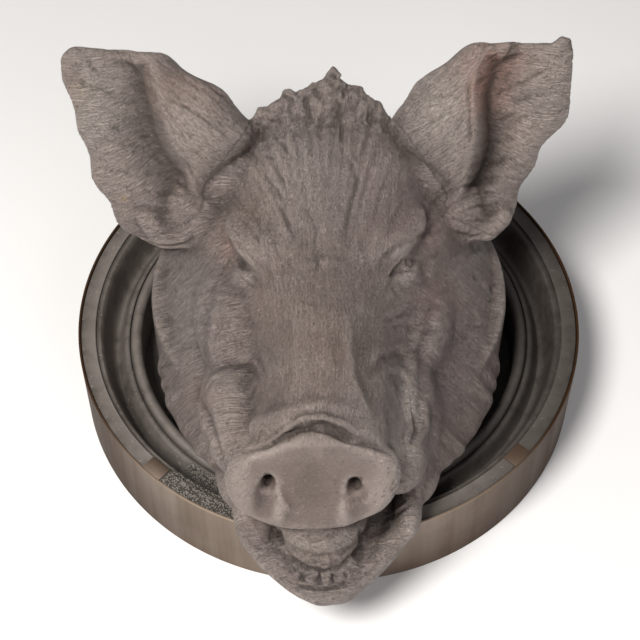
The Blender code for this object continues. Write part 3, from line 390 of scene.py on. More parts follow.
def plinth_profile():
    """From the axis over the top and down the outer side to the axis, as (r, z); and the well's radius."""
    rim = PLINTH_RADIUS - RIM_WIDTH
    quirk = PLINTH_HEIGHT - QUIRK_DEPTH
    cove_outer = rim - QUIRK_WIDTH
    cove_inner = cove_outer - COVE_WIDTH
    ridge = PLINTH_HEIGHT - RIDGE_DROP
    cove_floor = PLINTH_HEIGHT - COVE_DEPTH
    bead_outer = cove_inner - QUIRK_WIDTH
    well = bead_outer - 2 * BEAD_RADIUS
    outline = [(0.0, PLINTH_FLOOR), (well, PLINTH_FLOOR)]
    outline += arc((well + BEAD_RADIUS, ridge), BEAD_RADIUS, 180, 0, 9)
    outline += [(bead_outer, ridge - QUIRK_DEPTH), (cove_inner, ridge - QUIRK_DEPTH)]
    cove_keys = ((0.0, ridge), (0.12, ridge), (0.42, cove_floor), (0.62, cove_floor + 0.004),
                 (0.84, quirk - 0.002), (1.0, quirk))
    steps = 20
    shares = [i / steps for i in range(steps + 1)]
    outline += [(cove_inner + COVE_WIDTH * share, float(flow(cove_keys, share))) for share in shares]
    outline += [(rim, quirk), (rim, PLINTH_HEIGHT - EDGE_EASE), (rim + EDGE_EASE, PLINTH_HEIGHT)]
    outline += [(PLINTH_RADIUS - EDGE_EASE, PLINTH_HEIGHT), (PLINTH_RADIUS, PLINTH_HEIGHT - EDGE_EASE)]
    outline += [(PLINTH_RADIUS, 0.0), (0.0, 0.0)]
    return outline, well


# The head's own frame is in head units; to_world places it on the plinth
def to_world():
    return Matrix.Translation((0, 0, PLINTH_HEIGHT)) @ Matrix.Scale(HEAD_UNIT, 4)


def ball(bm, centre, radii, turn=UNTURNED, fineness=3):
    """One mass of clay: an ellipsoid, turned by degrees about X, Y and Z."""
    turned_by = Euler([math.radians(a) for a in turn]).to_matrix().to_4x4()
    place = Matrix.Translation(Vector(centre)) @ turned_by @ Matrix.Diagonal((*radii, 1.0))
    bmesh.ops.create_icosphere(bm, subdivisions=fineness, radius=1.0, matrix=place)


def roll(bm, points, radii, steps=6):
    """A roll of clay along the points, with a radius at each."""
    for a, b, ra, rb in zip(points, points[1:], radii, radii[1:]):
        for i in range(steps + 1):
            radius = ra + (rb - ra) * i / steps
            ball(bm, Vector(a).lerp(Vector(b), i / steps), (radius, radius, radius), fineness=2)


def skull_section(y, share):
    """A point of the right half of the head's section at y; share runs from crown to underside."""
    crown = flow(CROWN_LINE, y)
    under = flow(UNDER_LEVEL, y)
    brow = flow(BROW_REACH, y)
    cheek = flow(CHEEK_REACH, y)
    locks = RUFF_LOCKS * math.sin(46.0 * y + 3.0 * math.sin(17.0 * y)) * min(1.0, abs(y + 1.0) * 4.0)
    ruff = flow(RUFF_REACH, y) + locks
    ruff_level = flow(RUFF_LEVEL, y)
    across = ((0.0, 0.0), (0.22, brow), (0.5, cheek), (0.78, ruff), (0.84, ruff * 0.97), (1.0, 0.0))
    height = ((0.0, crown), (0.22, crown - 0.03), (0.5, flow(CHEEK_LEVEL, y)), (0.78, ruff_level),
              (0.84, (ruff_level + under) / 2), (1.0, under))
    return float(flow(across, share)), float(flow(height, share))


def skull(bm):
    """The main mass of the head, lofted along its lines from nape to snout."""
    along, around = 90, 60
    grid = bmesh.ops.create_grid(bm, x_segments=around, y_segments=along, size=1.0)["verts"]
    start, end = CROWN_LINE[0][0], CROWN_LINE[-1][0]
    for vert in grid:
        share = abs(vert.co.x)
        y = start + (end - start) * (vert.co.y + 1) / 2
        x, z = skull_section(y, share)
        vert.co = (math.copysign(x, vert.co.x), y, z)
    bmesh.ops.remove_doubles(bm, verts=grid, dist=1e-4)
    edges = [e for e in bm.edges if e.is_boundary]
    bmesh.ops.holes_fill(bm, edges=edges, sides=0)


def snout_disc(bm):
    """The flat disc of the snout: an arched, rounded plate that swells behind its face."""
    rings = ((-1.0, 0.60), (-0.75, 0.80), (-0.42, 0.93), (-0.16, 0.99), (0.02, 0.97), (0.12, 0.86),
             (0.10, 0.62), (0.05, 0.3))
    steps = 64
    up = Vector((0.0, math.sin(DISC_TILT), math.cos(DISC_TILT)))
    out = Vector((0.0, -math.cos(DISC_TILT), math.sin(DISC_TILT)))
    made = []
    for depth, scale in rings:
        circle = bmesh.ops.create_circle(bm, segments=steps, radius=1.0)["verts"]
        for i, vert in enumerate(circle):
            a = math.tau * i / steps
            c, s = math.cos(a), math.sin(a)
            p = DISC_HALF_WIDTH * math.copysign(abs(c) ** 0.80, c)
            q = DISC_HALF_HEIGHT * math.copysign(abs(s) ** 0.86, s)
            p *= 1.0 - 0.16 * max(0.0, -s) ** 1.5
            q *= 0.82 if s > 0 else 1.06
            q += 0.056 * math.exp(-(((p - 0.01) / 0.12) ** 2)) * max(0.0, s)
            q += 0.05 * p * (1 if s > 0 else 0.6)
            flat = (Vector((1, 0, 0)) * p + up * q) * scale
            vert.co = Vector(DISC_CENTRE) + flat + out * depth * DISC_DEPTH
        made.append([e for e in bm.edges if e.verts[0] in circle and e.verts[1] in circle])
    for a, b in zip(made, made[1:]):
        bmesh.ops.bridge_loops(bm, edges=a + b)
    bmesh.ops.holes_fill(bm, edges=made[0], sides=0)
    bmesh.ops.holes_fill(bm, edges=made[-1], sides=0)


def masses(bm):
    for centre, radii, turn in (
        # cheekbones, and the bulges of the upper lip beside the muzzle
        ((-0.32, -0.30, 0.385), (0.19, 0.32, 0.175), (0, -28, 8)),
        ((0.28, -0.28, 0.385), (0.19, 0.32, 0.175), (0, 28, -8)),
        ((-0.355, -0.68, 0.33), (0.115, 0.23, 0.15), (14, 12, 12)),
        ((0.27, -0.64, 0.36), (0.11, 0.22, 0.155), (10, -12, -8)),
        ((0.35, -0.66, 0.27), (0.06, 0.18, 0.12), (10, -12, -8)),
        ((-0.27, -0.84, 0.32), (0.10, 0.15, 0.13), (0, 10, 10)),
        ((0.25, -0.84, 0.32), (0.10, 0.15, 0.13), (0, -10, -10)),
        # corners of the mouth
        ((-0.32, -0.80, 0.13), (0.10, 0.15, 0.11), UNTURNED),
        ((0.31, -0.78, 0.13), (0.10, 0.15, 0.11), UNTURNED),
        # brows
        ((-0.25, -0.12, 0.64), (0.12, 0.18, 0.06), (0, 22, 28)),
        ((0.23, -0.09, 0.64), (0.12, 0.18, 0.06), (0, -22, -28)),
    ):
        ball(bm, centre, radii, turn)
    # bridge of the muzzle and the roll of skin above the disc
    roll(bm, ((-0.01, -0.40, 0.57), (-0.03, -0.66, 0.58), (-0.04, -0.88, 0.57)), (0.13, 0.12, 0.14))
    roll(bm, ((-0.23, -0.88, 0.56), (-0.12, -0.90, 0.645), (-0.04, -0.90, 0.67), (0.05, -0.90, 0.645),
              (0.15, -0.88, 0.56)), (0.055, 0.06, 0.06, 0.06, 0.055))
    # roots of the ears, and the lobes at their feet
    ball(bm, (-0.40, 0.25, 0.55), (0.19, 0.17, 0.19), (0, -25, 0))
    ball(bm, (0.37, 0.26, 0.55), (0.18, 0.17, 0.19), (0, 25, 0))
    ball(bm, (-0.50, 0.14, 0.48), (0.14, 0.14, 0.15))
    ball(bm, (0.48, 0.15, 0.48), (0.13, 0.14, 0.15))
    roll(bm, ((-0.69, 0.07, 0.53), (-0.63, 0.03, 0.47), (-0.55, 0.04, 0.45)), (0.045, 0.05, 0.045))
    roll(bm, ((0.66, 0.08, 0.53), (0.60, 0.05, 0.48), (0.53, 0.07, 0.47)), (0.04, 0.045, 0.04))


def jaw(bm):
    # floor of the mouth and chin
    ball(bm, (0.0, -0.82, 0.03), (0.34, 0.20, 0.10))
    ball(bm, (-0.01, -0.97, 0.02), (0.25, 0.15, 0.09))
    ball(bm, (-0.01, -1.09, -0.02), (0.14, 0.12, 0.10))
    # lower lip, from corner to corner
    lip = ((-0.31, -0.86, 0.17), (-0.305, -0.97, 0.13), (-0.285, -1.03, 0.08), (-0.22, -1.10, 0.03),
           (-0.125, -1.165, -0.01), (-0.035, -1.205, -0.03), (0.045, -1.195, -0.03), (0.13, -1.14, 0.0),
           (0.21, -1.075, 0.05), (0.27, -1.01, 0.11), (0.30, -0.94, 0.18), (0.325, -0.89, 0.225))
    roll(bm, lip, (0.05, 0.05, 0.05, 0.05, 0.052, 0.055, 0.055, 0.05, 0.048, 0.045, 0.035, 0.022), 5)
    roll(bm, ((-0.19, -1.05, -0.02), (-0.01, -1.14, -0.075), (0.15, -1.06, -0.02)), (0.07, 0.07, 0.07), 6)
    ball(bm, (0.285, -0.96, 0.12), (0.05, 0.10, 0.10))
    ball(bm, (-0.27, -0.97, 0.09), (0.07, 0.10, 0.06))
    # tongue
    ball(bm, (-0.032, -0.985, 0.135), (0.172, 0.19, 0.088), (-24, 0, 0))
    ball(bm, (-0.035, -1.045, 0.075), (0.165, 0.12, 0.075), (-30, 0, 0))
    # teeth of the lower jaw
    for x, y, size in ((-0.105, -1.125, 0.022), (-0.06, -1.15, 0.026), (-0.01, -1.16, 0.026),
                       (0.04, -1.15, 0.024), (0.08, -1.125, 0.022)):
        ball(bm, (x, y, 0.036), (size, size * 0.9, 0.048), (20, 0, 0))


def crest(bm):
    """Tufts of the mane that stand in a ragged fan between the ears."""
    tufts = ((-0.355, 0.32, 0.715, 0.05), (-0.30, 0.37, 0.765, 0.05), (-0.255, 0.41, 0.80, 0.045),
             (-0.20, 0.41, 0.83, 0.04), (-0.155, 0.44, 0.865, 0.045), (-0.10, 0.43, 0.865, 0.04),
             (-0.055, 0.45, 0.885, 0.04), (-0.01, 0.45, 0.92, 0.038), (0.022, 0.47, 0.95, 0.036),
             (0.065, 0.44, 0.885, 0.038), (0.11, 0.43, 0.895, 0.04), (0.15, 0.41, 0.85, 0.04),
             (0.185, 0.40, 0.83, 0.04), (0.22, 0.37, 0.79, 0.042), (0.25, 0.33, 0.735, 0.045))
    for x, y, z, radius in tufts:
        root = (x * 0.62, y - 0.20, 0.60)
        shoulder = (x * 0.88, y - 0.07, z - 0.12)
        roll(bm, (root, shoulder, (x, y, z - radius)), (radius * 1.3, radius * 1.2, radius * 0.7), 5)


def ear_plane(root, tip, side):
    """The directions of an ear: from base to tip, to its outer edge, and the way its scoop faces."""
    axis = (Vector(tip) - Vector(root)).normalized()
    face = Vector(VIEW) + Vector((side * EAR_FLARE, 0.0, 0.0))
    face = (face - axis * face.dot(axis)).normalized()
    return axis, axis.cross(face) * side, face


def ear(root, tip, inner_edge, outer_edge, ridge_line, side):
    """A scooped blade: its inner margin is a flap that turns back from a ridge, beside the hollow."""
    bm = bmesh.new()
    across, along = 90, 70
    root, view = Vector(root), Vector(VIEW)
    axis, outward, _ = ear_plane(root, tip, side)
    for vert in bmesh.ops.create_grid(bm, x_segments=across, y_segments=along, size=1.0)["verts"]:
        u = EAR_FOOT + (1.0 - EAR_FOOT) * (vert.co.y + 1) / 2
        inner = float(flow(inner_edge, u))
        outer = float(flow(outer_edge, u))
        ridge = float(flow(ridge_line, u))
        s = float(np.interp(vert.co.x, (-1.0, RIDGE_COLUMN, 1.0), (-1.0, ridge, 1.0)))
        reach = s * outer if s > 0 else s * inner
        if s < ridge:
            depth = float(flow(FLAP_RELIEF, (ridge - s) / (1 + ridge)))
        else:
            depth = float(flow(BLADE_RELIEF, (s - ridge) / (1 - ridge)))
        if depth > 0:
            depth *= 0.15 + 0.85 * min(1.0, max(0.0, (u + 0.05) / 0.35))
        depth *= 1.0 - 0.75 * max(0.0, u) ** 1.6
        tip_rise = (EAR_TIP_SLANT * s - EAR_TIP_ROUNDING * abs(s) ** 5) * max(0.0, u - 0.8) / 0.2
        wave = 0.010 * math.sin(u * 21.0) * abs(s) ** 4
        vert.co = root + axis * (u * EAR_LENGTH + tip_rise) + outward * (reach + wave) + view * depth
    bmesh.ops.transform(bm, matrix=to_world(), verts=bm.verts)
    return bm


def add_ears():
    ears = []
    for shape in EARS:
        obj = object_from(ear(*shape), "ear")
        thicken = obj.modifiers.new("thicken", "SOLIDIFY")
        thicken.thickness = EAR_THICKNESS
        thicken.offset = 0.0
        bake(obj)
        ears.append(obj)
    return ears


def points_of(obj):
    """The object's points, in metres."""
    points = np.empty(len(obj.data.vertices) * 3)
    obj.data.vertices.foreach_get("co", points)
    return points.reshape(-1, 3)


def put_points(obj, points):
    obj.data.vertices.foreach_set("co", points.ravel())
    obj.data.update()


def surface(obj):
    """The object's points and normals in the head's own frame."""
    normals = np.empty(len(obj.data.vertices) * 3)
    obj.data.vertex_normals.foreach_get("vector", normals)
    return (points_of(obj) - (0.0, 0.0, PLINTH_HEIGHT)) / HEAD_UNIT, normals.reshape(-1, 3)


def reshape(obj, points):
    put_points(obj, points * HEAD_UNIT + (0.0, 0.0, PLINTH_HEIGHT))


def round_the_axis(points):
    """The radius of each point from the plinth's axis, and its angle from the right side in degrees."""
    return np.hypot(points[:, 0], points[:, 1]), np.degrees(np.arctan2(points[:, 1], points[:, 0]))


def seen(points):
    """Where each point lies in the drawing of the face, in head units across and up."""
    away = (VIEW_DISTANCE - points @ np.array(VIEW)) / VIEW_DISTANCE
    return np.stack((points[:, 0] / away, points @ np.array(VIEW_UP) / away), axis=1)


def swell(points, normals, drawn, centre, radii, amount, way=None):
    """Raises the surface near a spot of the drawing, or sinks it where amount is negative."""
    reach = (((drawn - centre) / radii) ** 2).sum(axis=1)
    facing = np.clip(normals @ np.array(VIEW) * 4.0, 0.0, 1.0)
    weight = np.clip(1.0 - reach, 0.0, 1.0) ** 2 * facing
    direction = normals if way is None else np.asarray(way)
    points += direction * (weight * amount)[:, None]


def stroke(points, normals, drawn, path, width, amount, taper=0.25):
    """A ridge along a path of the drawing, or a groove where amount is negative; it fades at both ends."""
    path = np.asarray(path, float)
    reach = 3.0 * width
    low, high = path.min(axis=0) - reach, path.max(axis=0) + reach
    near = np.flatnonzero(((drawn > low) & (drawn < high)).all(axis=1))
    spots = drawn[near]
    lengths = np.linalg.norm(np.diff(path, axis=0), axis=1)
    total = lengths.sum()
    nearest = np.full(len(near), np.inf)
    along = np.zeros(len(near))
    done = 0.0
    for a, b, length in zip(path, path[1:], lengths):
        t = np.clip(((spots - a) @ (b - a)) / length**2, 0.0, 1.0)
        distance = np.linalg.norm(spots - a - t[:, None] * (b - a), axis=1)
        closer = distance < nearest
        nearest = np.where(closer, distance, nearest)
        along = np.where(closer, (done + t * length) / total, along)
        done += length
    facing = np.clip(normals[near] @ np.array(VIEW) * 4.0, 0.0, 1.0)
    fade = np.clip(np.minimum(along, 1.0 - along) / taper, 0.0, 1.0) ** 0.7
    weight = np.exp(-((nearest / width) ** 2)) * fade * facing
    points[near] += normals[near] * (weight * amount)[:, None]


def work_face(obj):
    """Strokes for the eyes, nostrils, folds and the locks of the brow."""
    points, normals = surface(obj)
    drawn = seen(points)
    out = np.array((0.0, -math.cos(DISC_TILT), math.sin(DISC_TILT)))

    def raised(centre, radii, amount, way=None):
        swell(points, normals, drawn, centre, radii, amount, way)

    def drawn_line(path, width, amount, taper=0.25):
        stroke(points, normals, drawn, path, width, amount, taper)

    # eyes: a hollow, the ball in it, a lid above and below, and the fold of the brow
    raised((-0.335, 0.17), (0.12, 0.12), -0.016)
    raised((0.30, 0.19), (0.12, 0.12), -0.016)
    raised((-0.26, 0.28), (0.13, 0.12), 0.013)
    raised((0.22, 0.29), (0.13, 0.12), 0.014)
    raised((-0.47, 0.34), (0.10, 0.15), 0.022)
    raised((0.45, 0.36), (0.10, 0.15), 0.022)
    raised((-0.355, 0.165), (0.065, 0.075), 0.026)
    raised((0.325, 0.185), (0.065, 0.075), 0.026)
    drawn_line(((-0.375, 0.265), (-0.32, 0.225), (-0.26, 0.14)), 0.022, 0.007)
    drawn_line(((0.345, 0.285), (0.28, 0.23), (0.215, 0.13)), 0.022, 0.009)
    drawn_line(((-0.385, 0.245), (-0.335, 0.195), (-0.275, 0.11)), 0.016, -0.004)
    drawn_line(((0.355, 0.255), (0.30, 0.20), (0.225, 0.10)), 0.016, -0.005)
    drawn_line(((-0.375, 0.305), (-0.31, 0.255), (-0.245, 0.17)), 0.018, -0.003)
    drawn_line(((0.33, 0.33), (0.25, 0.26), (0.19, 0.17)), 0.018, -0.004)
    # nostrils and the troughs that run down and inwards from them
    for a, b, side in ((-0.250, -0.680, -1), (0.098, -0.690, 1)):
        raised((a + side * 0.012, b - 0.055), (0.06, 0.105), -0.020, out)
        raised((a, b), (0.034, 0.044), -0.14, out)
        raised((a + side * 0.10, b - 0.02), (0.09, 0.15), 0.018, out)
        raised((a - side * 0.045, b - 0.10), (0.06, 0.08), 0.016, out)
    raised((-0.075, -0.70), (0.13, 0.17), -0.008, out)
    # folds of skin above the disc
    drawn_line(((-0.37, -0.555), (-0.24, -0.505), (-0.12, -0.455), (-0.03, -0.445), (0.05, -0.47),
                (0.14, -0.515), (0.26, -0.54)), 0.022, -0.050)
    drawn_line(((-0.22, -0.43), (-0.12, -0.385), (-0.02, -0.375), (0.08, -0.405), (0.14, -0.46)),
               0.017, -0.014)
    # edge of the bridge, and the folds round the cheekbones and the lips
    drawn_line(((0.07, 0.02), (0.075, -0.12), (0.085, -0.25), (0.15, -0.40)), 0.026, 0.007)
    drawn_line(((0.13, 0.02), (0.14, -0.12), (0.15, -0.24), (0.21, -0.40)), 0.038, -0.014)
    drawn_line(((-0.20, 0.08), (-0.185, -0.08), (-0.18, -0.22), (-0.25, -0.38)), 0.035, -0.014)
    drawn_line(((-0.40, 0.16), (-0.47, 0.10), (-0.51, 0.0), (-0.52, -0.11), (-0.51, -0.20), (-0.53, -0.30),
                (-0.49, -0.42), (-0.46, -0.52), (-0.42, -0.62)), 0.022, -0.018)
    drawn_line(((0.42, 0.10), (0.40, -0.05), (0.37, -0.14), (0.385, -0.28), (0.36, -0.42), (0.33, -0.52)),
               0.022, -0.016)
    drawn_line(((-0.51, -0.235), (-0.46, -0.20), (-0.40, -0.185), (-0.33, -0.20), (-0.28, -0.26)),
               0.018, -0.016)
    drawn_line(((0.17, -0.24), (0.22, -0.17), (0.28, -0.155), (0.34, -0.19)), 0.018, -0.014)
    # grooves between the locks that rise from the brow to the mane
    for a, b in ((-0.37, 0.74), (-0.30, 0.80), (-0.23, 0.86), (-0.165, 0.88), (-0.10, 0.89), (-0.04, 0.90),
                 (0.02, 0.93), (0.07, 0.89), (0.13, 0.86), (0.18, 0.82), (0.23, 0.77)):
        drawn_line(((a * 0.25, 0.22), (a * 0.55, 0.48), (a, b)), 0.012, -0.008)
    reshape(obj, points)


def fuse(obj, voxel, passes):
    """Makes one skin of overlapping masses and softens it."""
    remesh = obj.modifiers.new("fuse", "REMESH")
    remesh.mode = "VOXEL"
    remesh.voxel_size = voxel
    soften = obj.modifiers.new("soften", "SMOOTH")
    soften.factor = 0.5
    soften.iterations = passes
    bake(obj)


def joined(objects, name):
    bm = bmesh.new()
    for obj in objects:
        bm.from_mesh(obj.data)
    for obj in objects:
        bpy.data.objects.remove(obj)
    return object_from(bm, name)


def clear_of_plinth(obj, well):
    """Cuts away the room that the plinth and band take, with the gaps that the head keeps from them."""
    neck = well - NECK_GAP
    seat = PLINTH_FLOOR + SEAT_GAP
    over = PLINTH_HEIGHT + SEAT_GAP + BAND_RISE + JAW_GAP
    outer = BAND_RADIUS + JAW_GAP
    below = -PLINTH_HEIGHT
    space = turned("space_of_plinth", [(0.0, seat), (neck, seat), (neck, over), (outer, over), (outer, below),
                                       (0.0, below)])
    fit = obj.modifiers.new("clear_of_plinth", "BOOLEAN")
    fit.operation = "DIFFERENCE"
    fit.solver = "EXACT"
    fit.object = space
    bake(obj)
    bpy.data.objects.remove(space)


def build_head(well):
    bm = bmesh.new()
    skull(bm)
    masses(bm)
    snout_disc(bm)
    jaw(bm)
    crest(bm)
    neck_radius = (well - NECK_GAP) / HEAD_UNIT
    bmesh.ops.create_cone(bm, cap_ends=True, segments=96, radius1=neck_radius, radius2=neck_radius, depth=0.5,
                          matrix=Matrix.Translation((0, 0, NECK_FOOT + 0.25)))
    bmesh.ops.transform(bm, matrix=to_world(), verts=bm.verts)
    body = object_from(bm, "body")
    fuse(body, CLAY_VOXEL, CLAY_SMOOTHING_STEPS)
    work_face(body)
    head = joined([body, *add_ears()], "clay_head")
    fuse(head, CLAY_VOXEL, DETAIL_SMOOTHING_STEPS)
    clear_of_plinth(head, well)
    thin = head.modifiers.new("thin", "DECIMATE")
    triangles = sum(len(p.vertices) - 2 for p in head.data.polygons)
    thin.ratio = min(1.0, HEAD_TRIANGLES / triangles)
    bake(head)
    head.data.shade_smooth()
    return head


def in_drawing(spots):
    """Places in the picture of the face, as points of the drawing."""
    return (np.asarray(spots, float) - DRAWING_MIDDLE) * (DRAWING_STEP, -DRAWING_STEP)


def in_picture(drawn):
    """Points of the drawing, as places in the picture."""
    return drawn / (DRAWING_STEP, -DRAWING_STEP) + DRAWING_MIDDLE


def cut_folds(obj):
    """The fine folds, lids, gaps of the teeth and crevices of the mane."""
    points, normals = surface(obj)
    drawn = seen(points)
    for folds in (EYE_FOLDS, CHEEK_FOLDS, SNOUT_FOLDS, MOUTH_FOLDS, MANE_FOLDS, EAR_FOLDS):
        for width, height, *path in folds:
            stroke(points, normals, drawn, in_drawing(np.reshape(path, (-1, 2))),
                   width * FOLD_WIDTH * DRAWING_STEP, height * MILLIMETRE, FOLD_TAPER)
    # crossing wrinkles under the left eye
    for i in range(10):
        level = 318 + 4.3 * i
        path = [(u, level + 1.2 * math.sin(u * 0.35 + i) - 0.0035 * (u - 228) ** 2 * (i - 5) / 5)
                for u in range(206, 252, 5)]
        stroke(points, normals, drawn, in_drawing(path), 1.3 * DRAWING_STEP, -0.75 * MILLIMETRE, 0.35)
    # pores of the upper lip on the right
    chance = np.random.default_rng(HAIR_SEED)
    for _ in range(70):
        u, v = 392 + 9 * chance.normal(), 494 + 10 * chance.normal()
        stroke(points, normals, drawn, in_drawing(((u, v), (u + 0.6, v - 0.5))), 0.9 * DRAWING_STEP,
               -1.1 * MILLIMETRE, 0.01)
    reshape(obj, points)


def combed(spot):
    """The direction in which the hair lies at a place in the picture."""
    keys = np.asarray(COMBED, float)
    weight = np.exp(-(((keys[:, :2] - spot) ** 2).sum(axis=1)) / (2 * COMB_REACH**2)) + 1e-12
    angle = np.radians(keys[:, 2])
    direction = np.array((weight @ np.cos(angle), -(weight @ np.sin(angle))))
    return direction / np.linalg.norm(direction)


def comb_hair(obj):
    """Short grooves and ridges that follow the hair, drawn in clay with a fine tool."""
    points, normals = surface(obj)
    drawn = seen(points)
    chance = np.random.default_rng(HAIR_SEED)
    for _ in range(HAIR_STROKES):
        spot = np.array((chance.uniform(62, 578), chance.uniform(36, 560)))
        length = int(chance.integers(3, 8))
        width = chance.uniform(1.0, 1.7)
        height = -chance.uniform(0.20, 0.55)
        on_snout = 440 < spot[1] and 222 < spot[0] < 400
        on_muzzle = 290 < spot[1] <= 440 and 262 < spot[0] < 372
        on_ear = spot[1] < 215 and (spot[0] < 236 or spot[0] > 415)
        if on_snout:
            continue
        if on_muzzle:
            height *= 0.45
        if on_ear:
            height *= 1.3
        path = [spot]
        for _ in range(length):
            path.append(path[-1] + HAIR_STEP * combed(path[-1]))
        stroke(points, normals, drawn, in_drawing(path), width * DRAWING_STEP, height * MILLIMETRE, 0.4)
    reshape(obj, points)


def ear_share(drawn):
    """How far each point belongs to the left ear and to the right ear, from 0 to 1."""
    spots = in_picture(drawn)
    above = 1.0 - step_between(228, 246, spots[:, 1])
    return [step_between(-5, 5, way * (spots[:, 0] - flow(border, spots[:, 1]))) * above
            for way, border in zip((-1, 1), EAR_BORDERS)]


def lay_strands(obj):
    """The way the strands run: lengths round the head and along it, and how far they follow the second."""
    points, _ = surface(obj)
    drawn = seen(points)
    turn = np.abs(np.arctan2(points[:, 0] + 0.02, points[:, 2] - 0.42))
    strand = np.stack((turn * 0.45 + 0.3 * points[:, 0], points[:, 1], 0.5 * points[:, 0]), axis=1)
    side = step_between(0.55, 1.2, turn)
    for (root, tip, inner_edge, _, ridge_line, way), share in zip(EARS, ear_share(drawn)):
        axis, outward, _ = ear_plane(root, tip, way)
        along = (points - root) @ np.array(axis) / EAR_LENGTH
        across = (points - root) @ np.array(outward)
        ridge = flow(ridge_line, along) * flow(inner_edge, along)
        on_blade = step_between(-0.01, 0.02, across - ridge)
        slanted = along * EAR_LENGTH - 0.45 * across * step_between(0.2, 0.9, along)
        own = np.stack((across - 0.25 * along, slanted, np.full(len(points), 3.0)), axis=1)
        belongs = share[:, None] > 0.5
        strand = np.where(belongs, own, strand)
        side = np.where(belongs[:, 0], on_blade, side)
    return strand, side


def ragged(obj, strand, side):
    """Locks and unevenness of the clay, along the strands."""
    points, normals = surface(obj)
    drawn = seen(points)
    spots = in_picture(drawn)
    ears = np.maximum(*ear_share(drawn))
    on_snout = step_between(430, 446, spots[:, 1]) * step_between(218, 232, spots[:, 0])
    on_snout *= 1.0 - step_between(396, 410, spots[:, 0])
    on_muzzle = step_between(285, 320, spots[:, 1]) * np.exp(-((spots[:, 0] - 318) / 50.0) ** 4)
    calm = np.maximum(on_snout, 0.75 * on_muzzle)
    top = step_between(0.12, 0.50, points[:, 1]) * (1.0 - ears) * step_between(0.5, 0.7, points[:, 2])
    low = 1.0 - step_between(0.02, 0.05, points[:, 2])
    moved = np.zeros(len(points))
    for i, ((around, along, layer), follows) in enumerate(zip(strand, side)):
        fan = noise.noise((around * 42, along * 5, layer))
        rings = noise.noise((around * 5, along * 42, layer + 9))
        moved[i] = 0.5 * (fan * (1.0 - follows) + rings * follows)
    lumps = np.array([noise.fractal(Vector(p) * 11.0, 0.8, 2.0, 3) for p in points])
    tatters = np.array([noise.fractal(Vector(p) * 24.0, 0.7, 2.0, 3) for p in points])
    moved = moved * (1.0 - calm) * (0.5 + 0.5 * ears) + 0.30 * lumps * (1.0 - 0.6 * calm)
    moved += 2.1 * tatters * top
    points += normals * (moved * (1.0 - low) * MILLIMETRE)[:, None]
    reshape(obj, points)


def smoothed(obj):
    """How far each point lies on the disc of the snout, where no hair is drawn."""
    points, _ = surface(obj)
    spots = in_picture(seen(points))
    middle, reach = (311, 487), (92, 50)
    return 1.0 - step_between(0.75, 1.15, np.hypot(*((spots - middle) / reach).T))


def wrinkled(obj):
    """How far each point lies in the mouth or the crest, where the clay is left rough."""
    points, _ = surface(obj)
    spots = in_picture(seen(points))
    mouth = step_between(520, 534, spots[:, 1])
    mane = step_between(0.12, 0.50, points[:, 1]) * step_between(0.5, 0.7, points[:, 2])
    return np.maximum(mouth, 0.7 * mane * (1.0 - np.maximum(*ear_share(seen(points)))))


def hollows(obj, rounds):
    """How far each point lies below its softened surroundings, in metres."""
    mesh = obj.data
    count = len(mesh.vertices)
    ends = np.empty(len(mesh.edges) * 2, int)
    mesh.edges.foreach_get("vertices", ends)
    a, b = ends[::2], ends[1::2]
    neighbours = np.bincount(a, minlength=count) + np.bincount(b, minlength=count)
    points, normals = surface(obj)
    soft = points.copy()
    for _ in range(rounds):
        total = [np.bincount(a, soft[b, i], count) + np.bincount(b, soft[a, i], count) for i in range(3)]
        soft = np.stack(total, axis=1) / neighbours[:, None]
    return ((soft - points) * normals).sum(axis=1) * HEAD_UNIT


def clay_colour_with_painted_light(obj):
    """The clay's colour at each point, from the stains and the painted shade and highlights laid among them.
    """
    points, normals = surface(obj)
    spots = in_picture(seen(points))
    facing = np.clip(normals @ np.array(VIEW) * 3.0 + 1.0, 0.0, 1.0)
    colour = np.tile(np.array(CLAY, float), (len(points), 1))
    for u, v, across, down, tint, strength in STAINS_AND_PAINTED_LIGHT:
        distance = (((spots - (u, v)) / (across, down)) ** 2).sum(axis=1)
        share = strength * np.exp(-distance) * facing
        colour += (np.array(tint) - colour) * share[:, None]
    return np.concatenate((colour, np.ones((len(points), 1))), axis=1)


def keep(obj, name, kind, values):
    """Stores a value at each of the object's points for its material."""
    field = {"FLOAT": "value", "FLOAT_VECTOR": "vector", "FLOAT_COLOR": "color"}[kind]
    layer = obj.data.attributes.new(name, kind, "POINT")
    layer.data.foreach_set(field, np.asarray(values, np.float32).ravel())


def stay_in_box(obj, node):
    """Keeps the relief inside the box of the solid that the piece stands for."""
    low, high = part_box(node)
    put_points(obj, np.clip(points_of(obj), low, high))


def detail_head(head):
    cut_folds(head)
    strand, side = lay_strands(head)
    ragged(head, strand, side)
    comb_hair(head)
    stay_in_box(head, "boar_head")
    keep(head, "strand", "FLOAT_VECTOR", strand)
    keep(head, "side", "FLOAT", side)
    keep(head, "smoothed", "FLOAT", smoothed(head))
    keep(head, "wrinkled", "FLOAT", wrinkled(head))
    # How far each point lies below or above its surroundings drives painted shade in hollows and highlights
    # on ridges
    keep(head, "hollow", "FLOAT", hollows(head, 5))
    keep(head, "deep_hollow", "FLOAT", hollows(head, 60))
    # The clay's colour: stains, with painted shade and painted highlights laid among them
    keep(head, "stain_and_painted_light", "FLOAT_COLOR", clay_colour_with_painted_light(head))


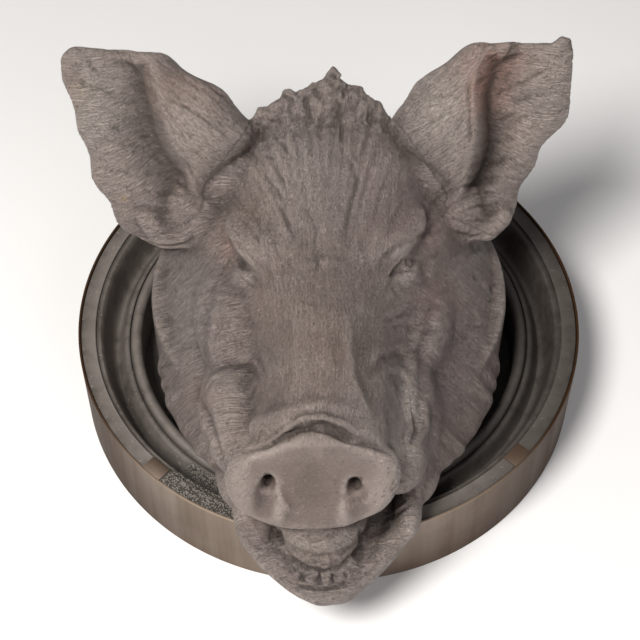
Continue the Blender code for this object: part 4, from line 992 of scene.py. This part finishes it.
def build_band():
    """The hoop round the plinth and the four tabs folded over the rim."""
    inner = BAND_RADIUS - BAND_THICKNESS
    top = PLINTH_HEIGHT + SEAT_GAP + BAND_RISE
    ease = 0.0004
    hoop = turned("band_and_tabs", [(inner, top - ease), (inner + ease, top), (BAND_RADIUS - ease, top),
                                    (BAND_RADIUS, top - ease), (BAND_RADIUS, top - 5 * ease),
                                    (BAND_RADIUS, ease), (BAND_RADIUS - ease, 0.0), (inner, 0.0)])
    low = PLINTH_HEIGHT + SEAT_GAP
    reach = BAND_RADIUS - TAB_REACH
    lap = BAND_THICKNESS / 2
    bm = bmesh.new()
    for i in range(TAB_COUNT):
        turn = Matrix.Rotation(TAB_TURN + i * math.tau / TAB_COUNT, 4, "Z")
        centre = Vector(((reach + BAND_RADIUS - lap) / 2, 0.0, (low + top) / 2))
        size = (BAND_RADIUS - lap - reach, TAB_WIDTH, top - low)
        made = bmesh.ops.create_cube(bm, size=1.0, matrix=turn @ Matrix.Translation(centre) @
                                     Matrix.Diagonal((*size, 1.0)))
        edges = list({e for v in made["verts"] for e in v.link_edges})
        bmesh.ops.bevel(bm, geom=edges, offset=0.0003, segments=2, profile=0.5, affect="EDGES", material=-1)
    tabs = object_from(bm, "tabs")
    band = joined([hoop, tabs], "band_and_tabs")
    band.data.shade_smooth()
    band.data.set_sharp_from_angle(angle=math.radians(40))
    return band


def build_plinth():
    profile, well = plinth_profile()
    plinth = turned("turned_plinth", profile)
    plinth.data.shade_smooth()
    plinth.data.set_sharp_from_angle(angle=math.radians(32))
    return plinth, well


class Recipe:
    """A material that is made up node by node."""

    def __init__(self, name):
        self.made = bpy.data.materials.new(name)
        self.made.use_nodes = True
        self.tree = self.made.node_tree
        self.shader = self.tree.nodes["Principled BSDF"]
        self.place = self.node("ShaderNodeTexCoord").outputs["Object"]

    def node(self, kind, **settings):
        made = self.tree.nodes.new(kind)
        for name, value in settings.items():
            setattr(made, name, value)
        return made

    def feed(self, socket, value):
        if isinstance(value, bpy.types.NodeSocket):
            self.tree.links.new(value, socket)
        else:
            socket.default_value = value

    def fed(self, kind, output, **values):
        """A node's output, with the named sockets fed."""
        made = self.node(kind)
        for name, value in values.items():
            self.feed(made.inputs[name.replace("_", " ")], value)
        return made.outputs[output]

    def stored(self, name, output="Fac"):
        return self.node("ShaderNodeAttribute", attribute_name=name).outputs[output]

    def maths(self, operation, a, b=0.0):
        made = self.node("ShaderNodeMath", operation=operation)
        for socket, value in zip(made.inputs, (a, b)):
            self.feed(socket, value)
        return made.outputs["Value"]

    def product(self, a, b):
        return self.maths("MULTIPLY", a, b)

    def rest(self, share):
        """What a share leaves of one."""
        return self.maths("SUBTRACT", 1.0, share)

    def graded(self, value, low, high, start=0.0, end=1.0):
        """The value brought from low..high to start..end, and held there."""
        return self.fed("ShaderNodeMapRange", "Result", Value=value, From_Min=low, From_Max=high,
                        To_Min=start, To_Max=end)

    def line(self, value, width):
        """Thin lines where a cloudy value crosses its middle."""
        return self.graded(self.maths("ABSOLUTE", self.maths("SUBTRACT", value, 0.5)), 0.0, width, 1.0, 0.0)

    def stretched(self, vector, scale):
        return self.fed("ShaderNodeMapping", "Vector", Vector=vector, Scale=scale)

    def cloudy(self, vector, scale, detail=4.0, roughness=0.55, distortion=0.0):
        return self.fed("ShaderNodeTexNoise", "Fac", Vector=vector, Scale=scale, Detail=detail,
                        Roughness=roughness, Distortion=distortion)

    def cells(self, vector, scale):
        return self.fed("ShaderNodeTexVoronoi", "Distance", Vector=vector, Scale=scale)

    def blended(self, share, a, b):
        made = self.node("ShaderNodeMix", data_type="RGBA", blend_type="MIX")
        self.feed(made.inputs[0], share)
        for socket, value in ((made.inputs[6], a), (made.inputs[7], b)):
            self.feed(socket, (*value, 1.0) if isinstance(value, tuple) else value)
        return made.outputs[2]

    def layered(self, colour, layers):
        """A colour with others laid over it, each as (share, tint)."""
        for share, tint in layers:
            colour = self.blended(share, colour, tint)
        return colour

    def finished(self, colour, roughness, specular, reliefs):
        """The material, with reliefs as (height, depth in metres, strength) from coarse to fine."""
        normal = None
        for height, depth, strength in reliefs:
            values = {"Distance": depth, "Strength": strength, "Height": height}
            if normal is not None:
                values["Normal"] = normal
            normal = self.fed("ShaderNodeBump", "Normal", **values)
        self.feed(self.shader.inputs["Base Color"], colour)
        self.feed(self.shader.inputs["Roughness"], roughness)
        self.shader.inputs["Specular IOR Level"].default_value = specular
        self.feed(self.shader.inputs["Normal"], normal)
        return self.made


def patinated_clay():
    """Fired clay under a grey-brown patina, with stains, painted shade in its hollows and painted highlights
    on its ridges.
    """
    clay = Recipe("patinated_clay")
    graded, product = clay.graded, clay.product
    strand, side = clay.stored("strand", "Vector"), clay.stored("side")

    def drawn_out(fine, coarse, *kind):
        """Clouds drawn out along the hair, which lies round the head in places and along it in others."""
        fan = clay.cloudy(clay.stretched(strand, (fine, coarse, 1.0)), 1.0, *kind)
        rings = clay.cloudy(clay.stretched(strand, (coarse, fine, 1.0)), 1.0, *kind)
        return clay.maths("ADD", product(fan, clay.rest(side)), product(rings, side))

    haired, rough = clay.rest(clay.stored("smoothed")), clay.stored("wrinkled")
    strands = drawn_out(120.0, 16.0, 6.0, 0.68, 0.7)
    hairs = product(clay.line(drawn_out(190.0, 22.0, 3.0, 0.6, 0.9), 0.045), haired)
    grain = clay.cloudy(clay.place, 900.0, 4.0, 0.7)
    mottle = clay.cloudy(clay.place, 60.0, 6.0, 0.65, 0.4)
    creases = clay.cloudy(clay.place, 170.0, 5.0, 0.62, 1.6)
    cracks = clay.line(clay.cloudy(clay.place, 130.0, 3.0, 0.55, 1.4), 0.030)
    clouds = clay.cloudy(clay.place, 14.0, 4.0, 0.55, 0.6)
    specks = graded(clay.cloudy(clay.place, 520.0, 2.0, 0.5), 0.66, 0.74)
    pores = graded(clay.cloudy(clay.place, 420.0, 2.0, 0.5), 0.37, 0.29)
    hollow, deep = clay.stored("hollow"), clay.stored("deep_hollow")
    # Stains, with painted shade and painted highlights laid among them, under the layers below
    colour = clay.layered(clay.stored("stain_and_painted_light", "Color"), (
        (graded(clouds, 0.42, 0.66, 0.0, 0.40), (0.178, 0.146, 0.146)),
        (graded(mottle, 0.50, 0.70, 0.0, 0.30), (0.262, 0.216, 0.186)),
        (graded(mottle, 0.48, 0.30, 0.0, 0.28), (0.146, 0.106, 0.090)),
        (product(graded(strands, 0.50, 0.34, 0.0, 0.32), haired), (0.110, 0.085, 0.073)),
        (product(graded(strands, 0.54, 0.72, 0.0, 0.34), haired), (0.330, 0.280, 0.250)),
        # The creases' tones follow their relief: painted shade in their grooves, painted highlight on their
        # tops
        (graded(creases, 0.44, 0.30, 0.0, 0.45), (0.095, 0.072, 0.062)),
        (graded(creases, 0.56, 0.70, 0.0, 0.30), (0.340, 0.290, 0.258)),
        (product(hairs, 0.27), (0.085, 0.064, 0.055)),
        (product(cracks, graded(haired, 0.0, 1.0, 0.08, 0.22)), (0.080, 0.060, 0.052)),
        # Stronger in the rough mouth and crest: painted shade in the creases, painted highlight on their tops
        (product(graded(creases, 0.52, 0.36), product(rough, 0.6)), (0.060, 0.045, 0.038)),
        (product(graded(creases, 0.54, 0.68), product(rough, 0.4)), PAINTED_HIGHLIGHT),
        (product(clay.rest(haired), 0.64), (0.098, 0.074, 0.064)),
        # Painted shade in the hollows and painted highlights on the ridges, fine and broad
        (graded(deep, 0.0005, 0.0032, 0.0, 0.62), (0.070, 0.052, 0.044)),
        (graded(hollow, 0.00005, 0.00060, 0.0, 0.42), (0.050, 0.037, 0.030)),
        (graded(hollow, -0.00006, -0.00045, 0.0, 0.34), (0.370, 0.310, 0.275)),
        (graded(deep, -0.0005, -0.0030, 0.0, 0.28), (0.300, 0.250, 0.222)),
        (product(specks, 0.30), (0.50, 0.46, 0.40)),
        (product(pores, 0.55), (0.060, 0.045, 0.038)),
    ))
    return clay.finished(colour, graded(mottle, 0.3, 0.7, 0.42, 0.64), 0.52, (
        (clouds, 0.003, 0.35),
        (product(strands, haired), 0.0026, 0.95),
        (mottle, 0.0018, 0.7),
        (product(creases, graded(rough, 0.0, 1.0, 1.0, 2.2)), 0.0014, 0.9),
        (hairs, -0.0005, 0.9),
        (product(cracks, graded(haired, 0.0, 1.0, 0.3, 1.0)), -0.0004, 0.8),
        (grain, 0.0006, 0.7),
    ))


def dark_clay():
    """The plinth's fired clay with a near-black stain, a grey bloom on top, pebbles in front, painted
    highlights and shade.
    """
    clay = Recipe("dark_stained_clay")
    graded, product = clay.graded, clay.product
    pebbled, wear_and_painted_light = clay.stored("pebbled"), clay.stored("wear_and_painted_light")
    clouds = clay.cloudy(clay.place, 16.0, 5.0, 0.6, 0.5)
    mottle = clay.cloudy(clay.place, 90.0, 5.0, 0.6)
    grain = clay.cloudy(clay.place, 1100.0, 3.0, 0.6)
    specks = graded(clay.cloudy(clay.place, 480.0, 1.0, 0.5), 0.70, 0.76)
    pitted = product(graded(clay.cells(clay.place, 760.0), 0.42, 0.66), pebbled)
    colour = clay.layered((0.072, 0.060, 0.051), (
        (graded(clouds, 0.38, 0.64), (0.120, 0.104, 0.092)),
        (graded(mottle, 0.45, 0.72, 0.0, 0.5), (0.150, 0.130, 0.110)),
        (graded(mottle, 0.46, 0.30, 0.0, 0.5), (0.042, 0.034, 0.029)),
        # Pale edge wear with painted highlights on the rim's lip and the bead; painted shade in the quirks,
        # where the value is negative
        (product(wear_and_painted_light, 0.75), (0.205, 0.180, 0.158)),
        (graded(wear_and_painted_light, 0.0, -1.0, 0.0, 0.9), (0.014, 0.010, 0.008)),
        (product(pebbled, 0.60), (0.250, 0.225, 0.195)),
        (product(pitted, 0.9), (0.030, 0.024, 0.020)),
        (product(specks, 0.5), (0.36, 0.33, 0.30)),
        (clay.stored("shaded"), (0.016, 0.012, 0.010)),
    ))
    return clay.finished(colour, graded(mottle, 0.3, 0.7, 0.42, 0.66), 0.45, (
        (mottle, 0.0010, 0.4), (grain, 0.0004, 0.5), (product(pitted, -1.0), 0.0012, 1.0)))


def browned_bronze():
    """Bronze gone brown, streaked down its side, darker in patches; painted shade, and a painted highlight on
    its rubbed top edge.
    """
    bronze = Recipe("browned_bronze")
    graded = bronze.graded
    clouds = bronze.cloudy(bronze.place, 9.0, 4.0, 0.6, 0.5)
    streaks = bronze.cloudy(bronze.stretched(bronze.place, (55.0, 55.0, 3.0)), 1.0, 5.0, 0.6)
    fine = bronze.cloudy(bronze.stretched(bronze.place, (420.0, 420.0, 60.0)), 1.0, 3.0, 0.6)
    colour = bronze.layered((0.210, 0.162, 0.127), (
        (graded(clouds, 0.36, 0.66), (0.360, 0.292, 0.240)),
        (graded(streaks, 0.42, 0.68, 0.0, 0.35), (0.410, 0.338, 0.285)),
        (graded(streaks, 0.47, 0.30, 0.0, 0.35), (0.150, 0.108, 0.080)),
        (graded(fine, 0.55, 0.75, 0.0, 0.3), (0.200, 0.156, 0.124)),
        # Painted highlight on the rubbed top edge
        (bronze.product(bronze.stored("wear_and_painted_light"), 0.6), (0.44, 0.34, 0.24)),
        (bronze.stored("shaded"), (0.044, 0.021, 0.009)),
    ))
    bronze.shader.inputs["Metallic"].default_value = 0.3
    return bronze.finished(colour, graded(streaks, 0.3, 0.7, 0.62, 0.48), 0.12,
                           ((clouds, 0.004, 0.25), (fine, 0.0003, 0.35)))


def line_at(share, middle, reach):
    """1 on the circle at a share of the band's radius, falling off over the reach."""
    return np.exp(-((share - middle) / reach) ** 2)


def detail_plinth(plinth):
    """Slight waves of a hand-turned piece, a bead on its right, pebbles, rubbed edges with painted
    highlights, painted shade.
    """
    points = points_of(plinth)
    radius, angle = round_the_axis(points)
    share = radius / BAND_RADIUS
    moulded = step_between(0.70, 0.76, share) * (1.0 - step_between(0.925, 0.932, share))
    moulded = moulded * step_between(0.03, 0.035, points[:, 2])
    waves = np.array([noise.noise(Vector(p) * 26.0) for p in points])
    right = np.exp(-((angle + 5.0) / 38.0) ** 4)
    points[:, 2] += moulded * (0.0005 * waves + 0.0016 * line_at(share, 0.905, 0.010) * right)
    put_points(plinth, points)
    height = points[:, 2]
    front_left = step_between(-133.0, -129.0, angle) * (1.0 - step_between(-108.0, -104.0, angle))
    keep(plinth, "pebbled", "FLOAT",
         front_left * step_between(0.80, 0.82, share) * step_between(0.035, 0.045, height))
    # Pale edge wear with painted highlights on the rim's lip and the bead's crown; painted shade in the two
    # quirk grooves
    lip = line_at(share, 0.9335, 0.004) * step_between(0.068, 0.0698, height)
    crown = line_at(share, 0.782, 0.014) * step_between(0.049, 0.054, height)
    quirks = line_at(share, 0.9285, 0.0035) * (1.0 - step_between(0.0680, 0.0690, height))
    quirks += line_at(share, 0.8035, 0.0035) * step_between(0.045, 0.047, height)
    keep(plinth, "wear_and_painted_light", "FLOAT", 0.7 * lip + 0.45 * crown - quirks * (1.0 - 0.9 * lip))
    in_shadow = step_between(-62.0, -38.0, angle) * (1.0 - step_between(100.0, 140.0, angle))
    keep(plinth, "shaded", "FLOAT", 0.6 * in_shadow)


def detail_band(band):
    """Painted shade round the hoop and on the tabs, darker towards its foot, and a painted highlight on its
    rubbed top edge.
    """
    points = points_of(band)
    radius, angle = round_the_axis(points)
    # Darker towards the foot
    low = 0.35 * (1.0 - points[:, 2] / PLINTH_HEIGHT)
    # Painted shade on the tabs' lit tops
    tabs = 0.85 * (1.0 - step_between(BAND_RADIUS - 2 * BAND_THICKNESS, BAND_RADIUS - BAND_THICKNESS, radius))
    shade = np.maximum(flow(BAND_SHADE, angle) + low, tabs)
    keep(band, "shaded", "FLOAT", np.clip(shade, 0.0, 1.0))
    # Painted highlight along the rubbed top edge
    edge = step_between(BAND_RADIUS - 0.0009, BAND_RADIUS - 0.0003, radius)
    keep(band, "wear_and_painted_light", "FLOAT",
         edge * step_between(PLINTH_HEIGHT + 0.0004, PLINTH_HEIGHT + 0.0012, points[:, 2]))


def plain_material(name, colour, roughness):
    plain = Recipe(name)
    plain.shader.inputs["Base Color"].default_value = (*colour, 1.0)
    plain.shader.inputs["Roughness"].default_value = roughness
    return plain.made


def place_camera():
    """The eye stands in front of the snout and above it, and looks at the middle of the rim."""
    data = bpy.data.cameras.new("camera")
    data.lens = LENS
    data.sensor_width = FILM_WIDTH
    camera = bpy.data.objects.new("camera", data)
    bpy.context.scene.collection.objects.link(camera)
    aim = Vector((AIM_SIDE, 0.0, PLINTH_HEIGHT)) + Vector(VIEW_UP) * AIM_UP
    camera.location = aim + Vector(VIEW) * VIEW_DISTANCE * HEAD_UNIT
    camera.rotation_euler = Vector(VIEW).to_track_quat("Z", "Y").to_euler()
    bpy.context.scene.camera = camera


def soft_light(name, place, size, power, colour):
    data = bpy.data.lights.new(name, "AREA")
    data.shape = "DISK"
    data.size = size
    data.energy = power
    data.color = colour
    lamp = bpy.data.objects.new(name, data)
    lamp.location = place
    lamp.rotation_euler = (Vector(place) - Vector(LIT_PLACE)).to_track_quat("Z", "Y").to_euler()
    bpy.context.scene.collection.objects.link(lamp)


def studio():
    bm = bmesh.new()
    bmesh.ops.create_grid(bm, x_segments=1, y_segments=1, size=FLOOR_REACH)
    floor = object_from(bm, "floor")
    floor.data.materials.append(plain_material("pale_floor", (0.82, 0.81, 0.80), 0.8))
    world = bpy.data.worlds.new("room")
    world.use_nodes = True
    glow = world.node_tree.nodes["Background"].inputs
    glow["Color"].default_value = (1.0, 1.0, 1.0, 1.0)
    glow["Strength"].default_value = ROOM_LIGHT
    bpy.context.scene.world = world
    soft_light("key", (-0.62, -0.85, 1.75), 0.70, 50.0, (1.0, 0.98, 0.955))
    soft_light("fill", (0.9, -1.6, 1.1), 1.4, 10.5, (0.98, 0.96, 1.0))
    bpy.context.scene.view_settings.view_transform = "Standard"


def main():
    plinth, well = build_plinth()
    band = build_band()
    head = build_head(well)
    detail_head(head)
    detail_plinth(plinth)
    detail_band(band)
    head.data.materials.append(patinated_clay())
    plinth.data.materials.append(dark_clay())
    band.data.materials.append(browned_bronze())
    for piece, node, finish in ((head, "boar_head", "terracotta"), (plinth, "plinth", "dark_terracotta"),
                                (band, "bronze_band", "bronze")):
        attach(piece, "root")
        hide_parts(node)
    place_camera()
    studio()


main()
